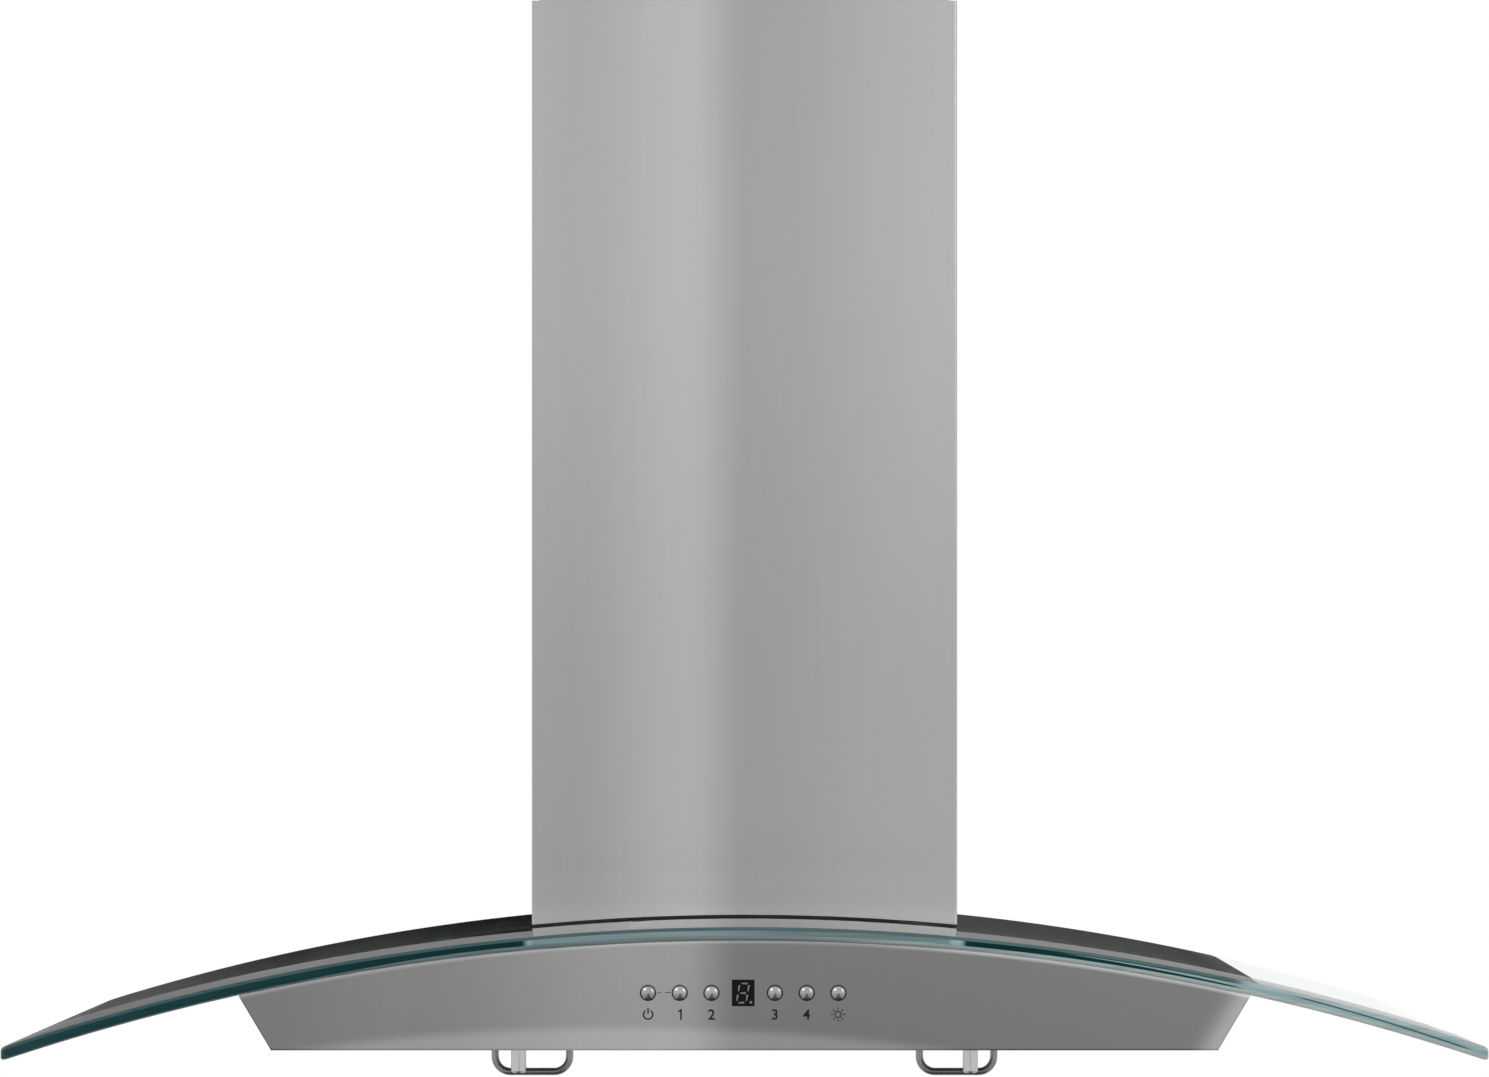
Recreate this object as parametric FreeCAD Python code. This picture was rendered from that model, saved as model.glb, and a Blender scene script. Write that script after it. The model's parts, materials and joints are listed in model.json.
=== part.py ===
import FreeCAD, Part
import math
import os

# Curved glass range hood, in millimetres. +Z is up, the wall is the plane Y = 0 and the hood
# stands out from it towards -Y. The origin is the centre of the four wall bolts. Heights in the
# values below are measured from the rim, the lowest edge of the canopy body.

# ---- clearances ----
SEAT = 0.2  # between two still pieces that rest on each other
ARCH_SEAT = 0.4  # the same, between two arched pieces
FIT = 0.05  # radial running clearance of a shaft or a stem
SLIP = 0.5  # between a moving piece and the wall that it passes

# ---- whole hood ----
HOOD_DEPTH = 500.0  # wall to the front edge of the glass
WALL_BOLT_HEIGHT = 175.0
WALL_BOLT_SPACING_X = 236.0
WALL_BOLT_SPACING_Z = 110.0
WALL_BOLT_HOLE_R = 4.0

# ---- arched glass ----
GLASS_WIDTH = 920.0  # along the front edge, before its corners are rounded
GLASS_REAR_WIDTH = 862.0  # along the rear edge
GLASS_THICK = 8.0
GLASS_RADIUS = 1442.0  # underside of the arch
GLASS_APEX = 68.0  # underside at the middle
GLASS_BEVEL = 2.4
GLASS_CORNER_R = 14.0
GLASS_WALL_GAP = 8.0
CUTOUT_GAP = 4.0  # glass to blower box
CUTOUT_CORNER_R = 12.0
SEAL_SPACE = 1.5  # body to glass
SEAL_WIDTH = 10.0
GLASS_SCREW_SIDE_X = 117.0
GLASS_SCREW_SIDE_Y = 70.0  # from the wall
GLASS_SCREW_FRONT_X = 70.0
GLASS_SCREW_FRONT_GAP = 20.0  # ahead of the cutout
GLASS_SCREW_R = 2.5
GLASS_SCREW_HEAD_R = 5.0
GLASS_SCREW_HEAD_H = 2.8
GLASS_SCREW_BELOW = 7.0
GROMMET_WALL = 1.3
GROMMET_FLANGE_R = 6.0
GROMMET_FLANGE_H = 1.2

# ---- canopy body and front panel ----
BODY_END_LEAN = 30.8  # degrees from upright
BODY_SHEET = 1.2
BODY_FLANGE = 14.0
PANEL_SETBACK = 3.0  # behind the glass edge
PANEL_DEPTH = 12.0
PANEL_SHEET = 1.0
PANEL_LIP = 10.0
PANEL_GLASS_GAP = 0.4

# ---- sheet-metal screws: hexagon heads, shanks and holes drawn with flat sides ----
SCREW_R = 1.5
SCREW_HEAD_R = 3.0
SCREW_HEAD_H = 1.8
SCREW_BITE = 4.0
SCREW_PLAY = 0.15
SCREW_SIDES = 8

# ---- controls ----
CONTROL_X = -0.8
CONTROL_HEIGHT = 35.4
BUTTON_PITCH = 19.55
BUTTON_R = 4.5
BUTTON_RING = 0.5  # dark gap round a button
BUTTON_PROUD = 2.6
BUTTON_TRAVEL = 1.0
BUTTON_DOME = 1.3
BUTTON_TOP_R = 2.6
BUTTON_FLANGE = 12.0
BUTTON_FLANGE_H = 1.2
BUTTON_STEM = 3.6
SWITCH_SIZE = 7.0
SWITCH_DEPTH = 4.0
SWITCH_GRIP = 0.5
DISPLAY_WIDTH = 13.6
DISPLAY_HEIGHT = 16.0
DISPLAY_LENS = 1.2
DISPLAY_FLANGE = 1.2
DISPLAY_BLOCK = 4.5
HOUSING_WIDTH = 150.0
HOUSING_HEIGHT = 31.0
HOUSING_FRONT = 3.4
HOUSING_WALL = 1.5
HOUSING_DEPTH = 12.0
HOUSING_GUIDE = 1.6  # wall of a stem guide
BOARD_THICK = 1.6

# ---- bottom tray, lamps ----
TRAY_SHEET = 1.0
TRAY_MIDDLE_RIB = 24.0
TRAY_SIDE_RIB = 19.6  # from a filter's opening to the body's bottom edge
TRAY_SIDE_LIP = 8.0
LAMP_X = 205.0
LAMP_FRONT_INSET = 42.0  # lamp centre behind the tray's front edge
LAMP_LENGTH = 84.0
LAMP_WIDTH = 40.0
LAMP_TRIM = 4.0
LAMP_TRIM_H = 1.0
LAMP_HEIGHT = 12.0
LAMP_WALL = 1.2
LAMP_LENS_H = 1.6
LAMP_BOARD_H = 1.4

# ---- baffle filters ----
FILTER_WIDTH = 257.0
FILTER_DEPTH = 335.0
FILTER_HEIGHT = 12.0
FILTER_ABOVE_RIM = 1.7
FILTER_FRONT_INSET = 73.0  # filter front behind the tray's front edge
FILTER_PLAY = 1.5  # gap round a filter in its opening
FILTER_SHEET = 0.8
FILTER_FRONT_RAIL = 36.0
FILTER_SIDE_RAIL = 12.0
FILTER_BEAD_R = 2.5
FILTER_TAB_WIDTH = 20.0
FILTER_TAB_REACH = 8.0
FILTER_TAB_SHEET = 1.2
FILTER_TAB_INSET = 35.0
BAFFLE_PITCH = 28.0
BAFFLE_WIDTH = 20.0
BAFFLE_LEG = 5.6
BAFFLE_SHEET = 0.8
BAFFLE_GRIP = 6.0  # length held inside the front rail

# ---- filter handles and latches ----
HANDLE_OFFSET = -8.4  # from the filter's middle
HANDLE_WIDTH = 51.6
HANDLE_DROP = 21.0  # lowest point below the rim
HANDLE_WIRE_R = 2.35
HANDLE_BEND_R = 9.65
HANDLE_INSET = 24.0  # behind the filter's front
HANDLE_BEND_STEPS = 2
LATCH_OFFSET = -0.2  # from the filter's middle
LATCH_INSET = 9.0
LATCH_DROP = 18.7
LATCH_KNOB_R = 4.8
LATCH_KNOB_BEVEL = 1.2
LATCH_NECK = 4.4
LATCH_TRAVEL = 6.0
LATCH_PLATE_HALF = 9.0
LATCH_PLATE_H = 2.0
LATCH_PLATE_BACK = 8.0  # plate behind the knob's centre
LATCH_LUG_H = 4.8
LATCH_LUG_HALF = 5.0
LATCH_LUG_T = 1.6
LATCH_NOSE = 0.6  # nose proud of the filter
LEAF_SHEET = 0.5
LEAF_SPACE = 11.0
LEAF_WIDTH = 7.0
LEAF_HEIGHT = 4.0

# ---- chimney covers ----
CHIMNEY_WIDTH = 273.0
CHIMNEY_DEPTH = 294.0
CHIMNEY_SHEET = 1.0
CHIMNEY_BEND_R = 2.0
CHIMNEY_WALL_GAP = 1.0
LOWER_CHIMNEY_TOP = 664.0
CHIMNEY_SEAL = 0.9
CHIMNEY_SEAL_WIDTH = 2.4
CHIMNEY_HEM = 7.0
TELESCOPE_GAP = 3.5
UPPER_LENGTH = 500.0
UPPER_SHOWING = 110.0
LOUVRE_COUNT = 7
LOUVRE_PITCH = 10.0
LOUVRE_LENGTH = 90.0
LOUVRE_HEIGHT = 4.6
LOUVRE_FROM_TOP = 26.0
CEILING_BRACKET_HEIGHT = 22.0
CEILING_BRACKET_FROM_TOP = 3.0
CEILING_BRACKET_ARM = 60.0
CEILING_BRACKET_SHEET = 1.5
CEILING_HOLE_SPACING = 180.0
CEILING_HOLE_R = 3.0
BRACKET_SCREW_Y = 40.0

# ---- wall plate and blower box ----
PLATE_SHEET = 2.0
PLATE_HEIGHT = 174.0
PLATE_FLANGE = 20.0
PLATE_SCREW_Z = 40.0
BOX_WIDTH = 200.0
BOX_FRONT = 240.0  # front face from the wall
BOX_TOP = 330.0
BOX_SHEET = 1.0
BOX_FLANGE = 12.0
BOX_SCREW_X = 60.0
BOX_SCREW_Z = 62.0
REST_WIDTH = 40.0
REST_HEIGHT = 2.4
REST_FROM_WALL = 130.0

# ---- blower: large rounds inside the box are drawn with flat sides, as rolled sheet ----
INNER_FLATS = 36
SCROLL_WIDTH = 100.0
SCROLL_SHEET = 1.0
SCROLL_FROM_WALL = 110.0
SCROLL_HEIGHT = 186.0  # impeller axis
SCROLL_START_R = 82.0
SCROLL_GROWTH = 11.0
SCROLL_TONGUE = 60.0  # degrees
SCROLL_OUTLET = 100.0  # outlet above the axis
SCROLL_FLANGE = 7.0
SCROLL_INLET_R = 60.0
SCROLL_SHAFT_R = 12.0
INLET_THROAT_R = 50.0
INLET_FLANGE_R = 68.0
INLET_REACH = 8.0
IMPELLER_R = 69.0
IMPELLER_EYE_R = 57.0
IMPELLER_WIDTH = 76.0
IMPELLER_BLADES = 24
IMPELLER_RING = 1.5
IMPELLER_DISC = 1.2
BLADE_SHEET = 0.8
BLADE_BULGE = 3.0
HUB_R = 10.0
HUB_LENGTH = 22.0
SHAFT_R = 4.0
SHAFT_IN_MOTOR = 36.0
MOTOR_SIZE = 80.0
MOTOR_CORNER = 14.0
MOTOR_LENGTH = 44.0

# ---- outlet, duct collar, damper ----
DUCT_R = 74.5
DUCT_FROM_WALL = 150.0
DUCT_SHEET = 1.0
DUCT_HEIGHT = 55.0
DUCT_FLANGE = 11.0
DUCT_FLANGE_SHEET = 1.2
DAMPER_ROD_HEIGHT = 22.0
DAMPER_ROD_R = 1.5
DAMPER_BARREL_WALL = 0.95
DAMPER_BARREL = 24.0
DAMPER_SHEET = 1.0
DAMPER_GAP = 4.0
DAMPER_RIM_GAP = 2.0
DAMPER_STOP = 4.0
DAMPER_STOP_WIDTH = 8.0
DAMPER_STOP_H = 1.5
DAMPER_STOP_ANGLE = 40.0  # from the rod

# ---- wiring ----
JUNCTION_WIDTH = 100.0
JUNCTION_HEIGHT = 60.0
JUNCTION_DEPTH = 25.0
JUNCTION_WALL = 1.5
JUNCTION_X = -45.0
JUNCTION_BOTTOM = 225.0
GLAND_R = 8.0
GLAND_BORE_R = 4.0
GLAND_NECK_R = 6.5
GLAND_HEIGHT = 16.0
GLAND_TAIL = 8.0
GLAND_X = -70.0
CAPACITOR_WIDTH = 37.0
CAPACITOR_DEPTH = 17.0
CAPACITOR_HEIGHT = 27.0
CAPACITOR_X = 45.0

# ---- places worked out from the sizes ----
RIM = -WALL_BOLT_HEIGHT
ARCH_Z = RIM + GLASS_APEX - GLASS_RADIUS  # axis of the arch, along Y
R_GLASS = GLASS_RADIUS
R_GLASS_TOP = R_GLASS + GLASS_THICK
R_BODY = R_GLASS - SEAL_SPACE
R_PANEL = R_GLASS - PANEL_GLASS_GAP
R_FOOT = R_GLASS_TOP + CHIMNEY_SEAL + 2 * SEAT
GLASS_FRONT = -HOOD_DEPTH
GLASS_REAR = -GLASS_WALL_GAP
PANEL_FRONT = GLASS_FRONT + PANEL_SETBACK
PANEL_BACK = PANEL_FRONT + PANEL_DEPTH
BODY_FRONT = PANEL_BACK + SEAT
BOX_HALF = BOX_WIDTH / 2
BOX_Y = -BOX_FRONT
BOX_REAR = -PLATE_SHEET - SEAT
CUTOUT_HALF = BOX_HALF + CUTOUT_GAP
CUTOUT_FRONT = BOX_Y - CUTOUT_GAP
CHIMNEY_HALF = CHIMNEY_WIDTH / 2
UPPER_HALF = CHIMNEY_HALF - CHIMNEY_SHEET - TELESCOPE_GAP
UPPER_DEPTH = CHIMNEY_DEPTH - CHIMNEY_SHEET - TELESCOPE_GAP
UPPER_TOP = LOWER_CHIMNEY_TOP + UPPER_SHOWING
UPPER_BOTTOM = UPPER_TOP - UPPER_LENGTH
SCROLL_Y = -SCROLL_FROM_WALL
SCROLL_Z = RIM + SCROLL_HEIGHT
SCROLL_HALF = SCROLL_WIDTH / 2
DUCT_Y = -DUCT_FROM_WALL
BOX_TOP_Z = RIM + BOX_TOP
ROD_Z = BOX_TOP_Z + DAMPER_ROD_HEIGHT
TRAY_Z = RIM + BODY_SHEET + SEAT
TRAY_TOP = TRAY_Z + TRAY_SHEET
TRAY_FRONT = BODY_FRONT + BODY_SHEET + SLIP
TRAY_REAR = -BODY_SHEET - SLIP
FILTER_FRONT = TRAY_FRONT + FILTER_FRONT_INSET
FILTER_REAR = FILTER_FRONT + FILTER_DEPTH  # also the swing axis
FILTER_Z = RIM + FILTER_ABOVE_RIM
FILTER_AXIS_Z = FILTER_Z + FILTER_BEAD_R
FILTER_INNER_X = TRAY_MIDDLE_RIB / 2 + FILTER_PLAY
FILTER_MIDDLE_X = FILTER_INNER_X + FILTER_WIDTH / 2
HANDLE_X = FILTER_MIDDLE_X + HANDLE_OFFSET
LATCH_X = FILTER_MIDDLE_X + LATCH_OFFSET
BODY_BOTTOM_WIDTH = 2 * (FILTER_INNER_X + FILTER_WIDTH + FILTER_PLAY + TRAY_SIDE_RIB)
CONTROL_Z = RIM + CONTROL_HEIGHT
HOUSING_Y = PANEL_FRONT + PANEL_SHEET + SEAT
JUNCTION_Z = RIM + JUNCTION_BOTTOM

X_AXIS = FreeCAD.Vector(1, 0, 0)
Y_AXIS = FreeCAD.Vector(0, 1, 0)
Z_AXIS = FreeCAD.Vector(0, 0, 1)


# ---- helpers ----
def point(x, y, z):
    return FreeCAD.Vector(x, y, z)


def box(x0, x1, y0, y1, z0, z1):
    return Part.makeBox(x1 - x0, y1 - y0, z1 - z0, point(x0, y0, z0))


def rod_x(radius, x0, x1, y, z):
    return Part.makeCylinder(radius, x1 - x0, point(x0, y, z), X_AXIS)


def rod_y(radius, y0, y1, x, z):
    return Part.makeCylinder(radius, y1 - y0, point(x, y0, z), Y_AXIS)


def rod_z(radius, z0, z1, x, y):
    return Part.makeCylinder(radius, z1 - z0, point(x, y, z0), Z_AXIS)


def fuse(shapes):
    first = shapes[0]
    if len(shapes) > 1:
        first = first.multiFuse(shapes[1:])
    return first.removeSplitter()


def mirrored(shape):
    return shape.mirror(point(0, 0, 0), X_AXIS)


def both_sides(shape):
    return [shape, mirrored(shape)]


def polygon_face(points):
    return Part.Face(Part.makePolygon(points + [points[0]]))


def arch_solid(radius, y0, y1):
    """Everything inside the arch's cylinder of this radius, between two planes."""
    return Part.makeCylinder(radius, y1 - y0, point(0, y0, ARCH_Z), Y_AXIS)


def arch_band(inner, outer, y0, y1):
    return arch_solid(outer, y0, y1).cut(arch_solid(inner, y0 - 1, y1 + 1))


def arch_height(radius, x):
    """Height of an arch surface at this X."""
    return ARCH_Z + math.sqrt(radius * radius - x * x)


def tilt_to_arch(shape, x):
    """Swing a shape made at X = 0 along the arch until it stands at X = x."""
    turned = shape.copy()
    angle = math.degrees(math.asin(x / R_GLASS_TOP))
    turned.rotate(point(0, 0, ARCH_Z), Y_AXIS, angle)
    return turned


def flat_sided(radius, sides, start, axis, length):
    """A prism with its corners on a circle of this radius."""
    corners = []
    for step in range(sides):
        a = 2 * math.pi * (step + 0.5) / sides
        corners.append(point(radius * math.cos(a), radius * math.sin(a), 0))
    prism = polygon_face(corners).extrude(Z_AXIS * length)
    prism.Placement = FreeCAD.Placement(start, FreeCAD.Rotation(Z_AXIS, axis))
    return prism


def screw_hole(start, axis, length):
    return flat_sided(SCREW_R + SCREW_PLAY, SCREW_SIDES, start, axis, length)


def polyhedron(faces):
    solid = Part.makeSolid(Part.makeShell([polygon_face(corners) for corners in faces]))
    if solid.Volume < 0:
        solid.reverse()
    return solid


def screw(length, radius, head_r, head_h, head, axis):
    """A hexagon-head screw whose head sits on the point head, with its shank along -axis."""
    shank = flat_sided(radius, SCREW_SIDES, head - axis * length, axis, length)
    return fuse([shank, flat_sided(head_r, 6, head, axis, head_h)])


# ---- canopy body, front panel ----
def body_section(inset, arch_radius, y):
    """The canopy's cross-section, drawn in by inset all round: slanted ends under an arched top."""
    slope = math.tan(math.radians(BODY_END_LEAN))
    start = BODY_BOTTOM_WIDTH / 2 - inset / math.cos(math.radians(BODY_END_LEAN))
    radius = arch_radius - inset
    centre = ARCH_Z - RIM
    a = 1 + slope * slope
    b = 2 * (start * slope - centre)
    c = start * start + centre * centre - radius * radius
    top = (-b + math.sqrt(b * b - 4 * a * c)) / (2 * a)
    low_x = start + slope * inset
    top_x = start + slope * top
    low_right = point(low_x, y, RIM + inset)
    low_left = point(-low_x, y, RIM + inset)
    top_right = point(top_x, y, RIM + top)
    top_left = point(-top_x, y, RIM + top)
    crown = point(0, y, ARCH_Z + radius)
    edges = [
        Part.LineSegment(low_left, low_right).toShape(),
        Part.LineSegment(low_right, top_right).toShape(),
        Part.Arc(top_right, crown, top_left).toShape(),
        Part.LineSegment(top_left, low_left).toShape(),
    ]
    return Part.Face(Part.Wire(edges))


def section_prism(inset, arch_radius, y0, y1):
    return body_section(inset, arch_radius, y0).extrude(Y_AXIS * (y1 - y0))


def glass_screw_places():
    """X and Y of the four glass screws; every one stands under the chimney cover."""
    places = []
    for side in (-1, 1):
        places.append((side * GLASS_SCREW_SIDE_X, -GLASS_SCREW_SIDE_Y))
        places.append((side * GLASS_SCREW_FRONT_X, CUTOUT_FRONT - GLASS_SCREW_FRONT_GAP))
    return places


def arch_holes(radius, r0, r1):
    """Flat-sided holes square to the arch at the glass screws, from one arch radius to another."""
    holes = []
    for x, y in glass_screw_places():
        one = flat_sided(radius, SCREW_SIDES, point(0, y, ARCH_Z + r0), Z_AXIS, r1 - r0)
        holes.append(tilt_to_arch(one, x))
    return holes


def canopy_body():
    shell = section_prism(0, R_BODY, BODY_FRONT, 0)
    hollow = section_prism(BODY_SHEET, R_BODY, BODY_FRONT + BODY_SHEET, -BODY_SHEET)
    mouth = section_prism(PANEL_LIP, R_BODY, BODY_FRONT - 1, BODY_FRONT + BODY_SHEET + 1)
    half = BODY_BOTTOM_WIDTH / 2 - BODY_FLANGE
    bottom = box(-half, half, BODY_FRONT + BODY_FLANGE, -BODY_FLANGE, RIM - 1, RIM + BODY_SHEET + 1)
    neck = BOX_HALF - BOX_FLANGE
    throat = box(-neck, neck, BOX_Y + BOX_FLANGE, BOX_REAR - BOX_FLANGE, RIM + BODY_FLANGE, BOX_TOP_Z)
    cuts = [hollow, mouth, bottom, throat]
    cuts += arch_holes(GLASS_SCREW_R + SCREW_PLAY, R_BODY - 5, R_BODY + 5)
    return shell.cut(cuts)


def button_places():
    return [CONTROL_X + BUTTON_PITCH * step for step in (-3, -2, -1, 1, 2, 3)]


def front_panel():
    shell = section_prism(0, R_PANEL, PANEL_FRONT, PANEL_BACK)
    hollow = section_prism(PANEL_SHEET, R_PANEL, PANEL_FRONT + PANEL_SHEET, PANEL_BACK - PANEL_SHEET)
    mouth = section_prism(PANEL_LIP, R_PANEL, PANEL_FRONT + PANEL_SHEET, PANEL_BACK + 1)
    cuts = [hollow, mouth]
    for x in button_places():
        cuts.append(rod_y(BUTTON_R + BUTTON_RING, PANEL_FRONT - 1, HOUSING_Y, x, CONTROL_Z))
    half_x = DISPLAY_WIDTH / 2 + SEAT
    half_z = DISPLAY_HEIGHT / 2 + SEAT
    cuts.append(
        box(
            CONTROL_X - half_x,
            CONTROL_X + half_x,
            PANEL_FRONT - 1,
            HOUSING_Y,
            CONTROL_Z - half_z,
            CONTROL_Z + half_z,
        )
    )
    return shell.cut(cuts)


# ---- glass, its seal and its screws ----
def glass_canopy():
    front = GLASS_WIDTH / 2
    rear = GLASS_REAR_WIDTH / 2
    corners = [
        point(-front, GLASS_FRONT, 0),
        point(front, GLASS_FRONT, 0),
        point(rear, GLASS_REAR, 0),
        point(-rear, GLASS_REAR, 0),
    ]
    height = GLASS_RADIUS / 2
    outline = polygon_face(corners).extrude(Z_AXIS * height)
    uprights = [e for e in outline.Edges if abs(e.BoundBox.ZLength - height) < 1]
    outline = outline.makeFillet(GLASS_CORNER_R, uprights)
    outline.translate(point(0, 0, RIM - height / 2))
    plate = arch_band(R_GLASS, R_GLASS_TOP, GLASS_FRONT - 1, 1).common(outline)
    edges = [e for e in plate.Edges if e.BoundBox.XLength + e.BoundBox.YLength > GLASS_THICK]
    plate = plate.makeChamfer(GLASS_BEVEL, edges)
    width = 2 * CUTOUT_HALF
    depth = GLASS_REAR + 1 - CUTOUT_FRONT
    slot = Part.makeBox(width, depth, GLASS_APEX * 2, point(-CUTOUT_HALF, CUTOUT_FRONT, RIM))
    inner = [
        e
        for e in slot.Edges
        if e.BoundBox.ZLength > GLASS_APEX and abs(e.CenterOfMass.y - CUTOUT_FRONT) < 0.1
    ]
    slot = slot.makeFillet(CUTOUT_CORNER_R, inner)
    holes = arch_holes(GLASS_SCREW_R + GROMMET_WALL + SEAT, R_GLASS - 5, R_GLASS_TOP + 5)
    return plate.cut([slot] + holes)


def glass_seal():
    """A flat rubber ring between the body's arched top and the glass."""
    low = R_BODY + ARCH_SEAT
    high = R_GLASS - ARCH_SEAT
    width = SEAL_WIDTH
    band = arch_band(low, high, BODY_FRONT, GLASS_REAR)
    wide = section_prism(SEAL_WIDTH, R_BODY + 2 * SEAL_WIDTH, BODY_FRONT, GLASS_REAR)
    inner = section_prism(2 * SEAL_WIDTH, R_BODY + 3 * SEAL_WIDTH, BODY_FRONT + width, GLASS_REAR - width)
    ring = band.common(wide).cut(inner)
    half = CUTOUT_HALF + width
    around = box(-half, half, CUTOUT_FRONT - width, GLASS_REAR, RIM, RIM + 2 * GLASS_APEX)
    throat = box(-CUTOUT_HALF, CUTOUT_HALF, CUTOUT_FRONT, GLASS_REAR + 1, RIM, RIM + 2 * GLASS_APEX)
    frame = band.common(around)
    holes = arch_holes(GLASS_SCREW_R + GROMMET_WALL + SEAT, low - 1, high + 1)
    return fuse([ring, frame]).cut([throat] + holes)


def glass_grommets():
    """Rubber sleeves in the glass, each with a flange under its screw's head."""
    outer = GLASS_SCREW_R + GROMMET_WALL
    base = ARCH_Z + R_GLASS_TOP + SEAT
    low = ARCH_Z + R_GLASS
    tall = base + GROMMET_FLANGE_H - low
    parts = []
    for x, y in glass_screw_places():
        sleeve = flat_sided(outer, SCREW_SIDES, point(0, y, low), Z_AXIS, tall)
        flange = flat_sided(GROMMET_FLANGE_R, SCREW_SIDES, point(0, y, base), Z_AXIS, GROMMET_FLANGE_H)
        bore = flat_sided(GLASS_SCREW_R + SCREW_PLAY, SCREW_SIDES, point(0, y, low - 1), Z_AXIS, tall + 2)
        parts.append(tilt_to_arch(fuse([sleeve, flange]).cut(bore), x))
    return Part.makeCompound(parts)


def glass_screws():
    seat = ARCH_Z + R_GLASS_TOP + SEAT + GROMMET_FLANGE_H + SEAT
    length = seat - (ARCH_Z + R_BODY) + GLASS_SCREW_BELOW
    parts = []
    for x, y in glass_screw_places():
        one = screw(length, GLASS_SCREW_R, GLASS_SCREW_HEAD_R, GLASS_SCREW_HEAD_H, point(0, y, seat), Z_AXIS)
        parts.append(tilt_to_arch(one, x))
    return Part.makeCompound(parts)


# ---- controls ----
def push_button(x):
    """A round cap on a square flange behind the panel, with a square stem to its switch."""
    face = PANEL_FRONT - BUTTON_PROUD
    flange_y = PANEL_FRONT + PANEL_SHEET + SEAT
    back = flange_y + BUTTON_FLANGE_H
    cap = rod_y(BUTTON_R, face + BUTTON_DOME, flange_y, x, CONTROL_Z)
    tip = Part.makeCone(BUTTON_TOP_R, BUTTON_R, BUTTON_DOME, point(x, face, CONTROL_Z), Y_AXIS)
    half = BUTTON_FLANGE / 2
    flange = box(x - half, x + half, flange_y, back, CONTROL_Z - half, CONTROL_Z + half)
    half = BUTTON_STEM / 2
    end = switch_face() + SWITCH_GRIP
    stem = box(x - half, x + half, back, end, CONTROL_Z - half, CONTROL_Z + half)
    return fuse([cap, tip, flange, stem])


def board_y():
    return HOUSING_Y + HOUSING_DEPTH - BOARD_THICK


def switch_face():
    return board_y() - SEAT - SWITCH_DEPTH


def control_housing():
    """A moulded tray behind the panel: pockets for the button flanges and guides for the stems."""
    half = HOUSING_WIDTH / 2
    low = CONTROL_Z - HOUSING_HEIGHT / 2
    high = CONTROL_Z + HOUSING_HEIGHT / 2
    back = HOUSING_Y + HOUSING_DEPTH
    floor_y = HOUSING_Y + HOUSING_FRONT
    block = box(CONTROL_X - half, CONTROL_X + half, HOUSING_Y, back, low, high)
    wall = HOUSING_WALL
    hollow = box(
        CONTROL_X - half + wall,
        CONTROL_X + half - wall,
        floor_y,
        back + 1,
        low + wall,
        high - wall,
    )
    shell = block.cut(hollow)
    reach = BUTTON_STEM / 2 + FIT
    wall = reach + HOUSING_GUIDE
    top = switch_face() - SLIP
    guides = []
    for x in button_places():
        guides.append(box(x - wall, x + wall, floor_y - 0.5, top, CONTROL_Z - wall, CONTROL_Z + wall))
    shell = fuse([shell] + guides)
    pocket = HOUSING_Y + BUTTON_FLANGE_H + BUTTON_TRAVEL + SLIP
    wide = BUTTON_FLANGE / 2 + SLIP
    cuts = []
    for x in button_places():
        cuts.append(box(x - wide, x + wide, HOUSING_Y - 1, pocket, CONTROL_Z - wide, CONTROL_Z + wide))
        cuts.append(box(x - reach, x + reach, HOUSING_Y, back, CONTROL_Z - reach, CONTROL_Z + reach))
    lens_x = DISPLAY_WIDTH / 2 + DISPLAY_FLANGE + SEAT
    lens_z = DISPLAY_HEIGHT / 2 + DISPLAY_FLANGE + SEAT
    cuts.append(
        box(
            CONTROL_X - lens_x,
            CONTROL_X + lens_x,
            HOUSING_Y - 1,
            floor_y + 1,
            CONTROL_Z - lens_z,
            CONTROL_Z + lens_z,
        )
    )
    return shell.cut(cuts)


def control_board():
    half = HOUSING_WIDTH / 2 - HOUSING_WALL - SEAT
    reach = HOUSING_HEIGHT / 2 - HOUSING_WALL - SEAT
    y = board_y()
    return box(CONTROL_X - half, CONTROL_X + half, y, y + BOARD_THICK, CONTROL_Z - reach, CONTROL_Z + reach)


def push_switches():
    half = SWITCH_SIZE / 2
    face = switch_face()
    depth = BUTTON_TRAVEL + SWITCH_GRIP + SLIP
    well = BUTTON_STEM / 2 + SLIP
    parts = []
    for x in button_places():
        block = box(x - half, x + half, face, face + SWITCH_DEPTH, CONTROL_Z - half, CONTROL_Z + half)
        hollow = box(x - well, x + well, face - 1, face + depth, CONTROL_Z - well, CONTROL_Z + well)
        parts.append(block.cut(hollow))
    return Part.makeCompound(parts)


def display_window():
    half_x = DISPLAY_WIDTH / 2
    half_z = DISPLAY_HEIGHT / 2
    back = HOUSING_Y
    lens = box(
        CONTROL_X - half_x, CONTROL_X + half_x, PANEL_FRONT, back, CONTROL_Z - half_z, CONTROL_Z + half_z
    )
    half_x += DISPLAY_FLANGE
    half_z += DISPLAY_FLANGE
    flange = box(
        CONTROL_X - half_x,
        CONTROL_X + half_x,
        back,
        back + DISPLAY_LENS,
        CONTROL_Z - half_z,
        CONTROL_Z + half_z,
    )
    return fuse([lens, flange])


def display_module():
    half_x = DISPLAY_WIDTH / 2 - SEAT
    half_z = DISPLAY_HEIGHT / 2 - SEAT
    front = HOUSING_Y + DISPLAY_LENS + SEAT
    back = board_y() - SEAT
    return box(
        CONTROL_X - half_x, CONTROL_X + half_x, front, back, CONTROL_Z - half_z, CONTROL_Z + half_z
    )


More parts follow.
